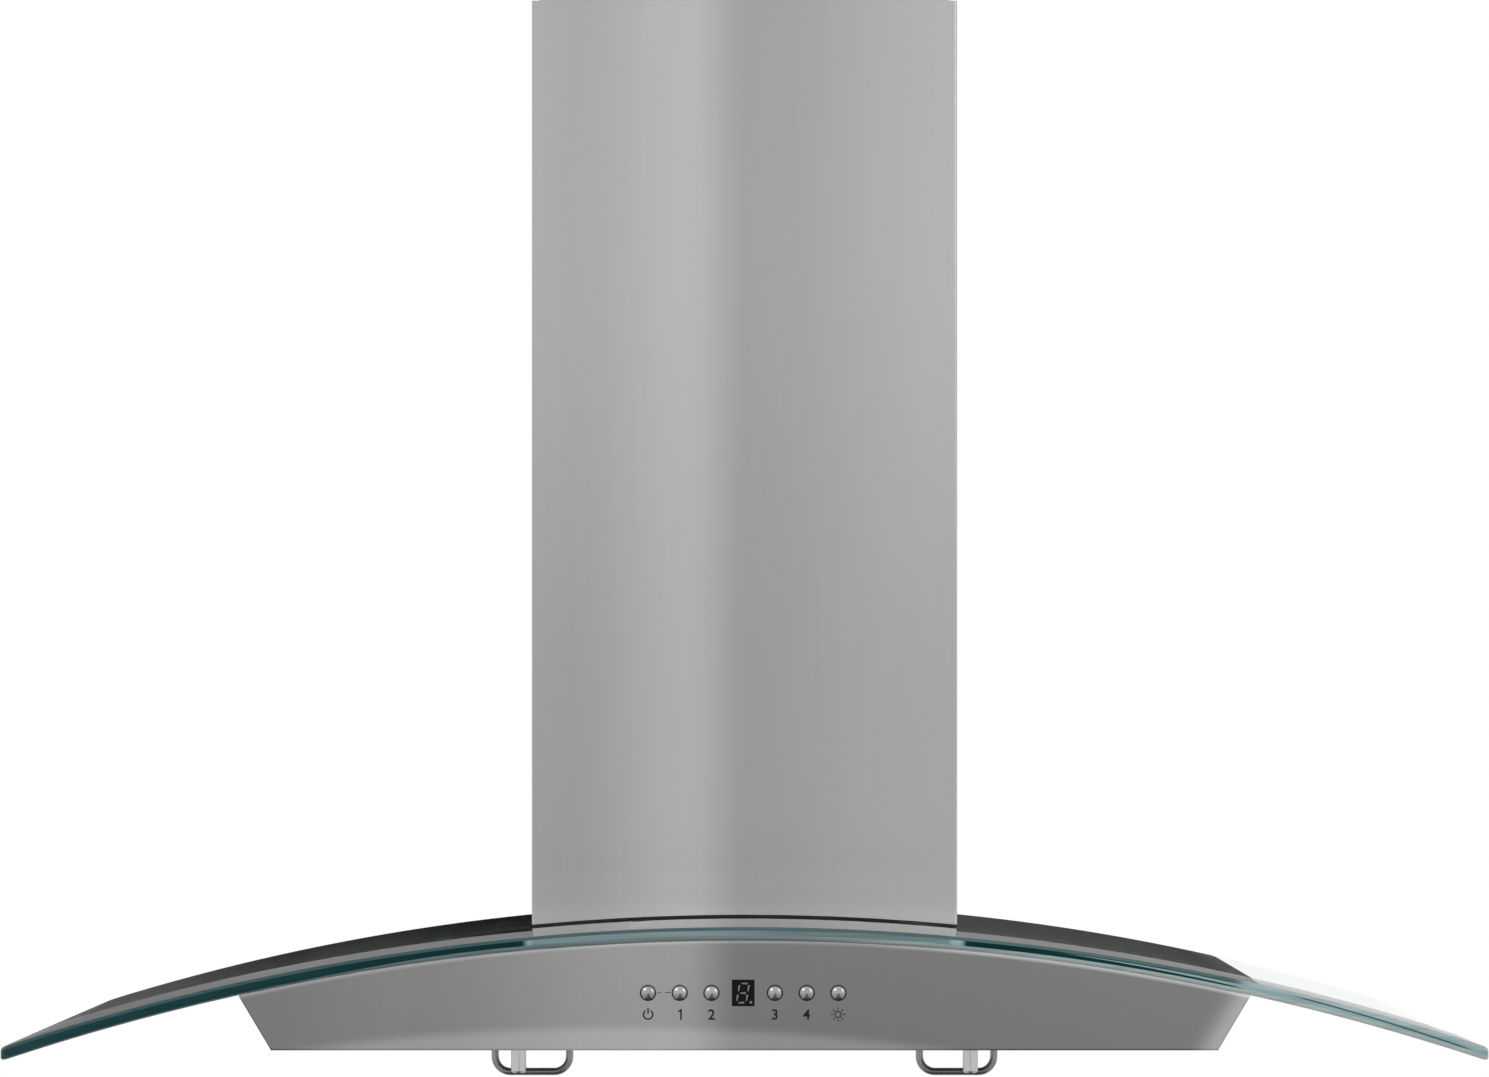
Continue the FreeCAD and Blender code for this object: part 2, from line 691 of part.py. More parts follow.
# ---- bottom tray and lamps ----
def filter_opening():
    """X and Y limits of the right-hand opening in the tray."""
    x0 = TRAY_MIDDLE_RIB / 2
    x1 = x0 + FILTER_WIDTH + 2 * FILTER_PLAY
    return x0, x1, FILTER_FRONT - FILTER_PLAY, FILTER_REAR + FILTER_BEAD_R + SLIP


def lamp_block(inset, z0, z1):
    """A box at the right-hand lamp, drawn in by inset all round, and its mirror image."""
    x = LAMP_LENGTH / 2 - inset
    y = LAMP_WIDTH / 2 - inset
    middle = TRAY_FRONT + LAMP_FRONT_INSET
    return both_sides(box(LAMP_X - x, LAMP_X + x, middle - y, middle + y, z0, z1))


def filter_tray():
    half = BODY_BOTTOM_WIDTH / 2 - BODY_SHEET - SLIP
    sheet = box(-half, half, TRAY_FRONT, TRAY_REAR, TRAY_Z, TRAY_TOP)
    x0, x1, y0, y1 = filter_opening()
    lips = []
    for x in (x0 - TRAY_SHEET, x1):
        lips += both_sides(box(x, x + TRAY_SHEET, y0, y1, TRAY_Z, TRAY_TOP + TRAY_SIDE_LIP))
    tray = fuse([sheet] + lips)
    cuts = both_sides(box(x0, x1, y0, y1, TRAY_Z - 1, TRAY_TOP + TRAY_SIDE_LIP + 1))
    cuts += lamp_block(-SEAT, TRAY_Z - 1, TRAY_TOP + 1)
    return tray.cut(cuts)


def lamp_top():
    return TRAY_Z + LAMP_HEIGHT


def lamp_housings():
    trim_top = TRAY_Z - SEAT
    trim_low = trim_top - LAMP_TRIM_H
    parts = []
    shells = lamp_block(0, trim_low, lamp_top())
    trims = lamp_block(-LAMP_TRIM, trim_low, trim_top)
    hollows = lamp_block(LAMP_WALL, trim_low - 1, lamp_top() - LAMP_WALL)
    for shell, trim, hollow in zip(shells, trims, hollows):
        parts.append(fuse([shell, trim]).cut(hollow))
    return Part.makeCompound(parts)


def lamp_lenses():
    low = TRAY_Z - LAMP_TRIM_H
    return Part.makeCompound(lamp_block(LAMP_WALL + SEAT, low, low + LAMP_LENS_H))


def lamp_boards():
    high = lamp_top() - LAMP_WALL - SEAT
    return Part.makeCompound(lamp_block(LAMP_WALL + SEAT, high - LAMP_BOARD_H, high))


# ---- baffle filters: made on the right-hand side, mirrored for the left ----
def filter_inner():
    """Height of the space between the bottom and top sheets of a filter frame."""
    return FILTER_Z + FILTER_SHEET, FILTER_Z + FILTER_HEIGHT - FILTER_SHEET


def latch_slot():
    """Y limits of the slot that the latch's neck slides in."""
    y = FILTER_FRONT + LATCH_INSET
    reach = LATCH_NECK / 2 + SLIP
    return y - reach, y + LATCH_TRAVEL + reach


def filter_frame():
    """A picture frame of channel: open inwards, a rolled rear edge and two rear tabs."""
    x0 = FILTER_INNER_X
    x1 = x0 + FILTER_WIDTH
    y0 = FILTER_FRONT
    y1 = FILTER_REAR
    low, high = filter_inner()
    sheet = FILTER_SHEET
    block = box(x0, x1, y0, y1, FILTER_Z, FILTER_Z + FILTER_HEIGHT)
    rail = FILTER_SIDE_RAIL
    window = box(
        x0 + rail, x1 - rail, y0 + FILTER_FRONT_RAIL, y1 - rail, FILTER_Z - 1, FILTER_Z + FILTER_HEIGHT + 1
    )
    groove = box(x0 + sheet, x1 - sheet, y0 + sheet, y1 - sheet, low, high)
    slot_y0, slot_y1 = latch_slot()
    neck = LATCH_NECK / 2 + SLIP
    slot = box(LATCH_X - neck, LATCH_X + neck, slot_y0, slot_y1, FILTER_Z - 1, low + 0.1)
    nose_half = LATCH_PLATE_HALF + SLIP
    nose = box(LATCH_X - nose_half, LATCH_X + nose_half, y0 - 1, y0 + sheet + 1, low, latch_plate()[1] + SLIP)
    frame = block.cut([window, groove, slot, nose])
    bead = rod_x(FILTER_BEAD_R, x0, x1, y1, FILTER_AXIS_Z)
    bead = bead.cut(groove)
    tab_z = TRAY_TOP + SEAT
    tabs = []
    for x in (x0 + FILTER_TAB_INSET, x1 - FILTER_TAB_INSET - FILTER_TAB_WIDTH):
        reach = y1 + FILTER_BEAD_R + FILTER_TAB_REACH
        tabs.append(box(x, x + FILTER_TAB_WIDTH, y1, reach, tab_z, tab_z + FILTER_TAB_SHEET))
    leaf_back = leaf_seat()[1]
    lug_half = LATCH_LUG_HALF
    lug_top = latch_plate()[1] + LATCH_LUG_H
    lug = box(LATCH_X - lug_half, LATCH_X + lug_half, leaf_back, leaf_back + LATCH_LUG_T, low, lug_top)
    return fuse([frame, bead, lug] + tabs)


def baffle(x, low, high, upward):
    """One channel: legs up for the lower row, legs down for the upper row."""
    half = BAFFLE_WIDTH / 2
    t = BAFFLE_SHEET
    profile = [
        (-half, 0),
        (half, 0),
        (half, BAFFLE_LEG),
        (half - t, BAFFLE_LEG),
        (half - t, t),
        (t - half, t),
        (t - half, BAFFLE_LEG),
        (-half, BAFFLE_LEG),
    ]
    y0 = FILTER_FRONT + FILTER_FRONT_RAIL - BAFFLE_GRIP
    y1 = FILTER_REAR - FILTER_SHEET - SEAT
    points = []
    for px, pz in profile:
        points.append(point(x + px, y0, low + SEAT + pz if upward else high - SEAT - pz))
    return polygon_face(points).extrude(Y_AXIS * (y1 - y0))


def filter_baffles():
    """Two rows of channels, the upper row over the gaps of the lower one and reaching down into it."""
    low, high = filter_inner()
    space = FILTER_WIDTH - 2 * FILTER_SHEET - 2 * SEAT
    count = int((space - BAFFLE_WIDTH) / BAFFLE_PITCH) + 1
    middle = FILTER_MIDDLE_X
    first = middle - (count - 1) * BAFFLE_PITCH / 2
    parts = []
    for step in range(count):
        parts.append(baffle(first + step * BAFFLE_PITCH, low, high, True))
    for step in range(count - 1):
        parts.append(baffle(first + (step + 0.5) * BAFFLE_PITCH, low, high, False))
    return Part.makeCompound(parts)


def handle_legs():
    half = HANDLE_WIDTH / 2 - HANDLE_WIRE_R
    return HANDLE_X - half, HANDLE_X + half


def half_space(place, direction, size):
    """A box that fills what lies beyond a plane."""
    solid = Part.makeBox(size, size, size, point(-size / 2, -size / 2, 0))
    solid.Placement = FreeCAD.Placement(place, FreeCAD.Rotation(Z_AXIS, direction))
    return solid


def mitred_wire(points, radius):
    """Round wire along straight stretches that meet in mitres."""
    parts = []
    for start, end in zip(points[:-1], points[1:]):
        reach = (end - start).normalize() * radius
        length = (end - start).Length + 2 * radius
        parts.append(Part.makeCylinder(radius, length, start - reach, reach))
    for step in range(1, len(points) - 1):
        before = (points[step] - points[step - 1]).normalize()
        after = (points[step + 1] - points[step]).normalize()
        across = before + after
        parts[step - 1] = parts[step - 1].cut(half_space(points[step], across, 8 * radius))
        parts[step] = parts[step].cut(half_space(points[step], across * -1, 8 * radius))
    return fuse(parts)


def filter_handle():
    """A U of round wire, welded by its two ends under the frame."""
    left, right = handle_legs()
    y = FILTER_FRONT + HANDLE_INSET
    bottom = RIM - HANDLE_DROP + HANDLE_WIRE_R
    top = FILTER_Z - SEAT
    bend = HANDLE_BEND_R
    points = [point(left, y, top)]
    for centre, start in ((left + bend, 180), (right - bend, 270)):
        for step in range(HANDLE_BEND_STEPS + 1):
            a = math.radians(start + 90 * step / HANDLE_BEND_STEPS)
            points.append(point(centre + bend * math.cos(a), y, bottom + bend + bend * math.sin(a)))
    points.append(point(right, y, top))
    wire = mitred_wire(points, HANDLE_WIRE_R)
    above = box(left - bend, right + bend, y - bend, y + bend, top, top + bend)
    return wire.cut(above)


def latch_plate():
    low = filter_inner()[0] + SEAT
    return low, low + LATCH_PLATE_H


def leaf_seat():
    """Y limits of the space for the leaf spring, between the latch's lug and the frame's lug."""
    front = FILTER_FRONT + LATCH_INSET + LATCH_PLATE_BACK
    return front, front + LEAF_SPACE


def filter_latch():
    """A sliding plate with a nose at the front, an upright lug behind and a knob below."""
    y = FILTER_FRONT + LATCH_INSET
    low, high = latch_plate()
    back = leaf_seat()[0]
    half = LATCH_PLATE_HALF
    plate = box(LATCH_X - half, LATCH_X + half, FILTER_FRONT - LATCH_NOSE, back, low, high)
    lug_half = LATCH_LUG_HALF
    lug = box(LATCH_X - lug_half, LATCH_X + lug_half, back - LATCH_LUG_T, back, high, high + LATCH_LUG_H)
    knob_top = FILTER_Z - SLIP
    knob = rod_z(LATCH_KNOB_R, RIM - LATCH_DROP, knob_top, LATCH_X, y)
    rim = [e for e in knob.Edges if abs(e.BoundBox.ZMax - (RIM - LATCH_DROP)) < 0.01]
    knob = knob.makeChamfer(LATCH_KNOB_BEVEL, rim)
    half = LATCH_NECK / 2
    neck = box(LATCH_X - half, LATCH_X + half, y - half, y + half, knob_top, low)
    return fuse([plate, lug, knob, neck])


def latch_spring():
    """A folded leaf of flat spring steel, as an N of three limbs."""
    front, back = leaf_seat()
    y0 = front + SEAT
    y1 = back - SEAT
    t = LEAF_SHEET
    half = LEAF_WIDTH / 2
    points = [
        point(LATCH_X - half, y0, 0),
        point(LATCH_X + half, y0, 0),
        point(LATCH_X - half + 2 * t, y1 - t, 0),
        point(LATCH_X + half, y1 - t, 0),
        point(LATCH_X + half, y1, 0),
        point(LATCH_X - half, y1, 0),
        point(LATCH_X + half - 2 * t, y0 + t, 0),
        point(LATCH_X - half, y0 + t, 0),
    ]
    leaf = polygon_face(points).extrude(Z_AXIS * LEAF_HEIGHT)
    leaf.translate(point(0, 0, latch_plate()[1] + SEAT))
    return leaf


# ---- chimney covers ----
def chimney_shell(half, depth, sheet, z0, z1):
    """A sheet folded to a U, open towards the wall, with rounded front bends."""
    back = -CHIMNEY_WALL_GAP
    outer = box(-half, half, -depth, back, z0, z1)
    bends = [e for e in outer.Edges if e.BoundBox.ZLength > 1 and abs(e.CenterOfMass.y + depth) < 0.01]
    outer = outer.makeFillet(CHIMNEY_BEND_R, bends)
    inner = box(sheet - half, half - sheet, sheet - depth, back + 1, z0 - 1, z1 + 1)
    bends = [
        e for e in inner.Edges if e.BoundBox.ZLength > 1 and abs(e.CenterOfMass.y + depth - sheet) < 0.01
    ]
    inner = inner.makeFillet(CHIMNEY_BEND_R - sheet, bends)
    return outer.cut(inner)


def plate_screw_places():
    """Side screws that hold the lower chimney cover to the wall plate."""
    y = -PLATE_FLANGE / 2
    return [(y, PLATE_SCREW_Z), (y, -PLATE_SCREW_Z)]


def lower_chimney():
    top = RIM + LOWER_CHIMNEY_TOP
    shell = chimney_shell(CHIMNEY_HALF, CHIMNEY_DEPTH, CHIMNEY_SHEET, RIM, top)
    below = arch_solid(R_FOOT, -CHIMNEY_DEPTH - 1, 1)
    shell = shell.cut(below)
    hem_band = arch_band(R_FOOT, R_FOOT + CHIMNEY_SHEET, -CHIMNEY_DEPTH, 0)
    reach = CHIMNEY_SHEET + CHIMNEY_HEM
    ring = chimney_shell_ring(CHIMNEY_SHEET / 2, reach)
    hem = hem_band.common(ring)
    cover = fuse([shell, hem])
    holes = []
    for y, z in plate_screw_places():
        holes += both_sides(screw_hole(point(CHIMNEY_HALF - 3, y, z), X_AXIS, 4))
    return cover.cut(holes)


def chimney_shell_ring(start, end):
    """A tall U-shaped ring inside the lower cover's outline, between two insets."""
    outer = box(start - CHIMNEY_HALF, CHIMNEY_HALF - start, start - CHIMNEY_DEPTH, -CHIMNEY_WALL_GAP, RIM, 0)
    inner = box(end - CHIMNEY_HALF, CHIMNEY_HALF - end, end - CHIMNEY_DEPTH, 0, RIM - 1, 1)
    return outer.cut(inner)


def chimney_seal():
    """The thin dark strip under the foot of the lower cover."""
    low = R_GLASS_TOP + SEAT
    band = arch_band(low, low + CHIMNEY_SEAL, -CHIMNEY_DEPTH, GLASS_REAR)
    return band.common(chimney_shell_ring(SEAT, SEAT + CHIMNEY_SEAL_WIDTH))


def louvre_slot(z):
    half = LOUVRE_HEIGHT / 2
    reach = LOUVRE_LENGTH / 2
    y = -UPPER_DEPTH / 2
    return box(-UPPER_HALF - 1, UPPER_HALF + 1, y - reach, y + reach, z - half, z + half)


def bracket_height():
    top = RIM + UPPER_TOP - CEILING_BRACKET_FROM_TOP
    return top - CEILING_BRACKET_HEIGHT, top


def upper_chimney():
    shell = chimney_shell(UPPER_HALF, UPPER_DEPTH, CHIMNEY_SHEET, RIM + UPPER_BOTTOM, RIM + UPPER_TOP)
    low, high = bracket_height()
    start = point(-UPPER_HALF - 1, -BRACKET_SCREW_Y, (low + high) / 2)
    cuts = [screw_hole(start, X_AXIS, 2 * UPPER_HALF + 2)]
    for step in range(LOUVRE_COUNT):
        cuts.append(louvre_slot(RIM + UPPER_TOP - LOUVRE_FROM_TOP - step * LOUVRE_PITCH))
    return shell.cut(cuts)


def ceiling_bracket():
    """A U strip inside the top of the upper cover, with two holes for wall screws."""
    low, high = bracket_height()
    t = CEILING_BRACKET_SHEET
    half = UPPER_HALF - CHIMNEY_SHEET - SEAT
    outer = box(-half, half, -CEILING_BRACKET_ARM, 0, low, high)
    inner = box(t - half, half - t, -CEILING_BRACKET_ARM - 1, -t, low - 1, high + 1)
    middle = (low + high) / 2
    holes = []
    for side in (-1, 1):
        holes.append(rod_y(CEILING_HOLE_R, -t - 1, 1, side * CEILING_HOLE_SPACING / 2, middle))
    holes.append(screw_hole(point(-half - 1, -BRACKET_SCREW_Y, middle), X_AXIS, 2 * half + 2))
    return outer.cut([inner] + holes)


def side_screw(x, y, z, length):
    """A screw in from the right-hand side, with its head on the plane X = x."""
    return screw(length, SCREW_R, SCREW_HEAD_R, SCREW_HEAD_H, point(x, y, z), X_AXIS)


def bracket_screws():
    low, high = bracket_height()
    one = side_screw(UPPER_HALF, -BRACKET_SCREW_Y, (low + high) / 2, SCREW_BITE + CHIMNEY_SHEET)
    return Part.makeCompound(both_sides(one))


def chimney_screws():
    parts = []
    for y, z in plate_screw_places():
        parts += both_sides(side_screw(CHIMNEY_HALF, y, z, SCREW_BITE + CHIMNEY_SHEET))
    return Part.makeCompound(parts)


# ---- wall plate, blower box ----
def wall_plate():
    """The plate that the wall bolts hold, with side flanges for the lower chimney cover."""
    half = CHIMNEY_HALF - CHIMNEY_SHEET - SEAT
    reach = PLATE_HEIGHT / 2
    back = box(-half, half, -PLATE_SHEET, 0, -reach, reach)
    flange = box(half - PLATE_SHEET, half, -PLATE_FLANGE, 0, -reach, reach)
    plate = fuse([back] + both_sides(flange))
    cuts = []
    for side in (-1, 1):
        for level in (-1, 1):
            x = side * WALL_BOLT_SPACING_X / 2
            z = level * WALL_BOLT_SPACING_Z / 2
            cuts.append(rod_y(WALL_BOLT_HOLE_R, -PLATE_SHEET - 1, 1, x, z))
    for y, z in plate_screw_places():
        cuts.append(screw_hole(point(-half - 1, y, z), X_AXIS, 2 * half + 2))
    for x, z in box_screw_places():
        cuts.append(screw_hole(point(x, -PLATE_SHEET - 1, z), Y_AXIS, PLATE_SHEET + 2))
    return plate.cut(cuts)


def box_screw_places():
    return [(x, z) for x in (-BOX_SCREW_X, BOX_SCREW_X) for z in (-BOX_SCREW_Z, BOX_SCREW_Z)]


def blower_box():
    """The sheet box on the canopy: its foot follows the arch and two side tabs carry the upper cover."""
    t = BOX_SHEET
    half = BOX_HALF
    outer = box(-half, half, BOX_Y, BOX_REAR, RIM, BOX_TOP_Z)
    inner = box(t - half, half - t, BOX_Y + t, BOX_REAR - t, RIM - 1, BOX_TOP_Z - t)
    foot = R_BODY + SEAT
    shell = outer.cut(inner).cut(arch_solid(foot, BOX_Y - 1, BOX_REAR + 1))
    ring = box(-half, half, BOX_Y, BOX_REAR, RIM, BOX_TOP_Z)
    flange = BOX_FLANGE
    ring = ring.cut(box(flange - half, half - flange, BOX_Y + flange, BOX_REAR - flange, RIM, BOX_TOP_Z))
    ledge = arch_band(foot, foot + t, BOX_Y - 1, BOX_REAR + 1).common(ring)
    rest_top = RIM + UPPER_BOTTOM - SEAT
    reach = UPPER_HALF + SLIP
    rest_y = -REST_FROM_WALL
    rest_half = REST_WIDTH / 2
    rest = box(half, reach, rest_y - rest_half, rest_y + rest_half, rest_top - REST_HEIGHT, rest_top)
    shell = fuse([shell, ledge] + both_sides(rest))
    start = point(0, DUCT_Y, BOX_TOP_Z - t - 1)
    cuts = [flat_sided(DUCT_R - DUCT_SHEET, INNER_FLATS, start, Z_AXIS, t + 2)]
    for x, z in box_screw_places():
        cuts.append(screw_hole(point(x, BOX_REAR - t - 1, z), Y_AXIS, t + 2))
    return shell.cut(cuts)


def box_screws():
    parts = []
    length = BOX_SHEET + SEAT + PLATE_SHEET
    for x, z in box_screw_places():
        head = point(x, BOX_REAR - BOX_SHEET, z)
        parts.append(screw(length, SCREW_R, SCREW_HEAD_R, SCREW_HEAD_H, head, Y_AXIS * -1))
    return Part.makeCompound(parts)


# ---- scroll housing: its outline is drawn with u towards the front and w upwards ----
def scroll_point(x, u, w):
    return point(x, SCROLL_Y - u, SCROLL_Z + w)


def scroll_arc(x, centre, radius, a0, a1):
    ends = []
    for part in (0, 0.5, 1):
        a = math.radians(a0 + part * (a1 - a0))
        ends.append(scroll_point(x, centre[0] + radius * math.cos(a), centre[1] + radius * math.sin(a)))
    return Part.Arc(*ends).toShape()


def outlet_walls():
    """Inner and outer u of the outlet, where the tongue ends and where the last arc ends."""
    step = SCROLL_GROWTH
    tongue = -step / 2 + SCROLL_START_R * math.cos(math.radians(SCROLL_TONGUE))
    return tongue, step / 2 + SCROLL_START_R + 2 * step


def scroll_prism(x0, x1, grow, top):
    """The volute: three quarter arcs of growing radius, then straight up to the outlet."""
    step = SCROLL_GROWTH
    c1 = (-step / 2, -step / 2)
    c2 = (step / 2, -step / 2)
    c3 = (step / 2, step / 2)
    r1 = SCROLL_START_R + grow
    edges = [
        scroll_arc(x0, c1, r1, SCROLL_TONGUE, 180),
        scroll_arc(x0, c2, r1 + step, 180, 270),
        scroll_arc(x0, c3, r1 + 2 * step, 270, 360),
    ]
    start = edges[0].firstVertex().Point
    end = edges[2].lastVertex().Point
    outer_u = outlet_walls()[1] + grow
    inner_u = outlet_walls()[0] - grow
    corner_out = scroll_point(x0, outer_u, top)
    corner_in = scroll_point(x0, inner_u, top)
    edges.append(Part.LineSegment(end, corner_out).toShape())
    edges.append(Part.LineSegment(corner_out, corner_in).toShape())
    edges.append(Part.LineSegment(corner_in, start).toShape())
    return Part.Face(Part.Wire(edges)).extrude(X_AXIS * (x1 - x0))


def blower_scroll():
    t = SCROLL_SHEET
    outer = scroll_prism(-SCROLL_HALF, SCROLL_HALF, t, SCROLL_OUTLET)
    inner = scroll_prism(t - SCROLL_HALF, SCROLL_HALF - t, 0, SCROLL_OUTLET + 1)
    u0, u1 = outlet_walls()
    edge = SCROLL_FLANGE
    z = SCROLL_Z + SCROLL_OUTLET
    reach = SCROLL_HALF + edge
    flange = box(-reach, reach, SCROLL_Y - u1 - edge, SCROLL_Y - u0 + edge, z - t, z)
    housing = fuse([outer, flange])
    start = point(SCROLL_HALF - 3, SCROLL_Y, SCROLL_Z)
    inlet = flat_sided(SCROLL_INLET_R, INNER_FLATS, start, X_AXIS, 4)
    start = point(-SCROLL_HALF - 1, SCROLL_Y, SCROLL_Z)
    shaft = flat_sided(SCROLL_SHAFT_R, SCREW_SIDES, start, X_AXIS, 3)
    return housing.cut([inner, inlet, shaft])


def inlet_ring():
    """A bell mouth in flat-sided sheet: a flange outside the scroll and a cone into the eye."""
    t = SCROLL_SHEET
    x = SCROLL_HALF + SEAT
    foot = x - INLET_REACH
    throat = INLET_THROAT_R
    mouth = throat + INLET_REACH - t
    flange = cone_of_flats(INLET_FLANGE_R, x, INLET_FLANGE_R, x + t)
    outer = cone_of_flats(throat + t, foot, mouth + t, x + t)
    inner = cone_of_flats(throat, foot, mouth, x + t)
    ring = fuse([flange, outer]).cut(inner)
    ring.translate(point(0, SCROLL_Y, SCROLL_Z))
    return ring


def cone_of_flats(r0, x0, r1, x1):
    """A flat-sided frustum along X, from radius r0 at x0 to radius r1 at x1."""
    ends = []
    for x, r in ((x0, r0), (x1, r1)):
        turns = [2 * math.pi * (step + 0.5) / INNER_FLATS for step in range(INNER_FLATS)]
        ends.append([point(x, r * math.cos(a), r * math.sin(a)) for a in turns])
    faces = list(ends)
    for step in range(INNER_FLATS):
        after = (step + 1) % INNER_FLATS
        faces.append([ends[0][step], ends[0][after], ends[1][after], ends[1][step]])
    return polyhedron(faces)


def impeller_span():
    """X limits of the impeller, centred in the scroll."""
    return -IMPELLER_WIDTH / 2, IMPELLER_WIDTH / 2


def impeller_blade(angle, x0, x1):
    """One forward-curved blade: a strip bent once along its length."""
    r0 = IMPELLER_EYE_R + BLADE_SHEET
    r1 = IMPELLER_R - BLADE_SHEET
    middle = (r0 + r1) / 2
    t = BLADE_SHEET / 2
    corners = [
        point(x0, -t, r0),
        point(x0, BLADE_BULGE - t, middle),
        point(x0, -t, r1),
        point(x0, t, r1),
        point(x0, BLADE_BULGE + t, middle),
        point(x0, t, r0),
    ]
    blade = polygon_face(corners).extrude(X_AXIS * (x1 - x0))
    blade.rotate(point(0, 0, 0), X_AXIS, angle)
    return blade


def impeller():
    """Squirrel cage: a back disc with a hub, a ring of blades and an end ring at the eye."""
    x0, x1 = impeller_span()
    flats = INNER_FLATS
    centre = point(x0, 0, 0)
    disc = flat_sided(IMPELLER_R, flats, centre, X_AXIS, IMPELLER_DISC)
    hub = rod_x(HUB_R, x0, x0 + HUB_LENGTH, 0, 0)
    start = point(x1 - IMPELLER_RING, 0, 0)
    ring = flat_sided(IMPELLER_R, flats, start, X_AXIS, IMPELLER_RING)
    eye = flat_sided(IMPELLER_EYE_R, flats, start - X_AXIS, X_AXIS, IMPELLER_RING + 2)
    blades = []
    for step in range(IMPELLER_BLADES):
        angle = step * 360 / IMPELLER_BLADES
        blades.append(impeller_blade(angle, x0 + IMPELLER_DISC / 2, x1 - IMPELLER_RING / 2))
    wheel = fuse([disc, hub, ring.cut(eye)] + blades)
    wheel = wheel.cut(rod_x(SHAFT_R + FIT, x0 - 1, x0 + HUB_LENGTH + 1, 0, 0))
    wheel.translate(point(0, SCROLL_Y, SCROLL_Z))
    return wheel


def motor_face():
    """X of the motor's mounting face, on the scroll's side."""
    return -SCROLL_HALF - SEAT


def motor_shaft():
    x0 = motor_face() - SHAFT_IN_MOTOR
    return rod_x(SHAFT_R, x0, impeller_span()[0] + HUB_LENGTH, SCROLL_Y, SCROLL_Z)


def motor():
    """A square stator with cut corners and a blind bearing bore."""
    face = motor_face()
    half = MOTOR_SIZE / 2
    cut = half - MOTOR_CORNER
    corners = []
    for y, z in ((half, -cut), (half, cut), (cut, half), (-cut, half)):
        corners.append(point(face, SCROLL_Y + y, SCROLL_Z + z))
    for y, z in ((-half, cut), (-half, -cut), (-cut, -half), (cut, -half)):
        corners.append(point(face, SCROLL_Y + y, SCROLL_Z + z))
    block = polygon_face(corners).extrude(X_AXIS * -MOTOR_LENGTH)
    depth = SHAFT_IN_MOTOR + SLIP
    return block.cut(rod_x(SHAFT_R + FIT, face - depth, face + 1, SCROLL_Y, SCROLL_Z))


# ---- outlet, duct collar, damper ----
def transition_height():
    low = SCROLL_Z + SCROLL_OUTLET + SEAT
    return low, BOX_TOP_Z - BOX_SHEET - SEAT


def square_to_round(inset, z0, z1):
    """Bent sheet's outline: each corner of the outlet fans out to a quarter of the round end."""
    u0, u1 = outlet_walls()
    half_x = SCROLL_HALF - SCROLL_SHEET - inset
    half_y = (u1 - u0) / 2 - inset
    middle = SCROLL_Y - (u0 + u1) / 2
    radius = DUCT_R - DUCT_SHEET - inset
    ring = []
    for step in range(INNER_FLATS):
        a = 2 * math.pi * step / INNER_FLATS
        ring.append(point(radius * math.cos(a), DUCT_Y + radius * math.sin(a), z1))
    corners = []
    for x, y in ((1, 1), (-1, 1), (-1, -1), (1, -1)):
        corners.append(point(x * half_x, middle + y * half_y, z0))
    quarter = INNER_FLATS // 4
    faces = [corners, ring]
    for side in range(4):
        corner = corners[side]
        for step in range(side * quarter, (side + 1) * quarter):
            faces.append([corner, ring[step], ring[(step + 1) % INNER_FLATS]])
        faces.append([corner, ring[(side + 1) * quarter % INNER_FLATS], corners[(side + 1) % 4]])
    return polyhedron(faces)


def outlet_transition():
    """A square-to-round piece from the scroll's outlet to the duct collar, with a flange at each end."""
    z0, z1 = transition_height()
    t = SCROLL_SHEET
    u0, u1 = outlet_walls()
    edge = SCROLL_FLANGE
    half = SCROLL_HALF + edge
    low = box(-half, half, SCROLL_Y - u1 - edge, SCROLL_Y - u0 + edge, z0, z0 + t)
    half = DUCT_R + edge
    high = box(-half, half, DUCT_Y - half, DUCT_Y + half, z1 - t, z1)
    return fuse([square_to_round(0, z0, z1), low, high]).cut(square_to_round(t, z0, z1))


def duct_collar():
    """The round collar that the duct slides over, with four stops inside that the flaps rest on."""
    base = BOX_TOP_Z + SEAT
    tube = rod_z(DUCT_R, base, base + DUCT_HEIGHT, 0, DUCT_Y)
    half = DUCT_R + DUCT_FLANGE
    flange = box(-half, half, DUCT_Y - half, DUCT_Y + half, base, base + DUCT_FLANGE_SHEET)
    bore_r = DUCT_R - DUCT_SHEET
    body = fuse([tube, flange]).cut(rod_z(bore_r, base - 1, base + DUCT_HEIGHT + 1, 0, DUCT_Y))
    top = ROD_Z - DAMPER_SHEET / 2 - SEAT
    wide = DAMPER_STOP_WIDTH / 2
    stops = []
    for turn in (DAMPER_STOP_ANGLE, 180 - DAMPER_STOP_ANGLE, -DAMPER_STOP_ANGLE, DAMPER_STOP_ANGLE - 180):
        stop = box(bore_r - DAMPER_STOP, bore_r + DUCT_SHEET / 2, -wide, wide, top - DAMPER_STOP_H, top)
        stop.rotate(point(0, 0, 0), Z_AXIS, turn)
        stop.translate(point(0, DUCT_Y, 0))
        stops.append(stop)
    start = point(-DUCT_R - 1, DUCT_Y, ROD_Z)
    hole_r = (DAMPER_ROD_R + FIT) / math.cos(math.pi / SCREW_SIDES)
    hole = flat_sided(hole_r, SCREW_SIDES, start, X_AXIS, 2 * DUCT_R + 2)
    return fuse([body] + stops).cut(hole)


def damper_rod():
    half = DUCT_R - DUCT_SHEET / 2
    return rod_x(DAMPER_ROD_R, -half, half, DUCT_Y, ROD_Z)


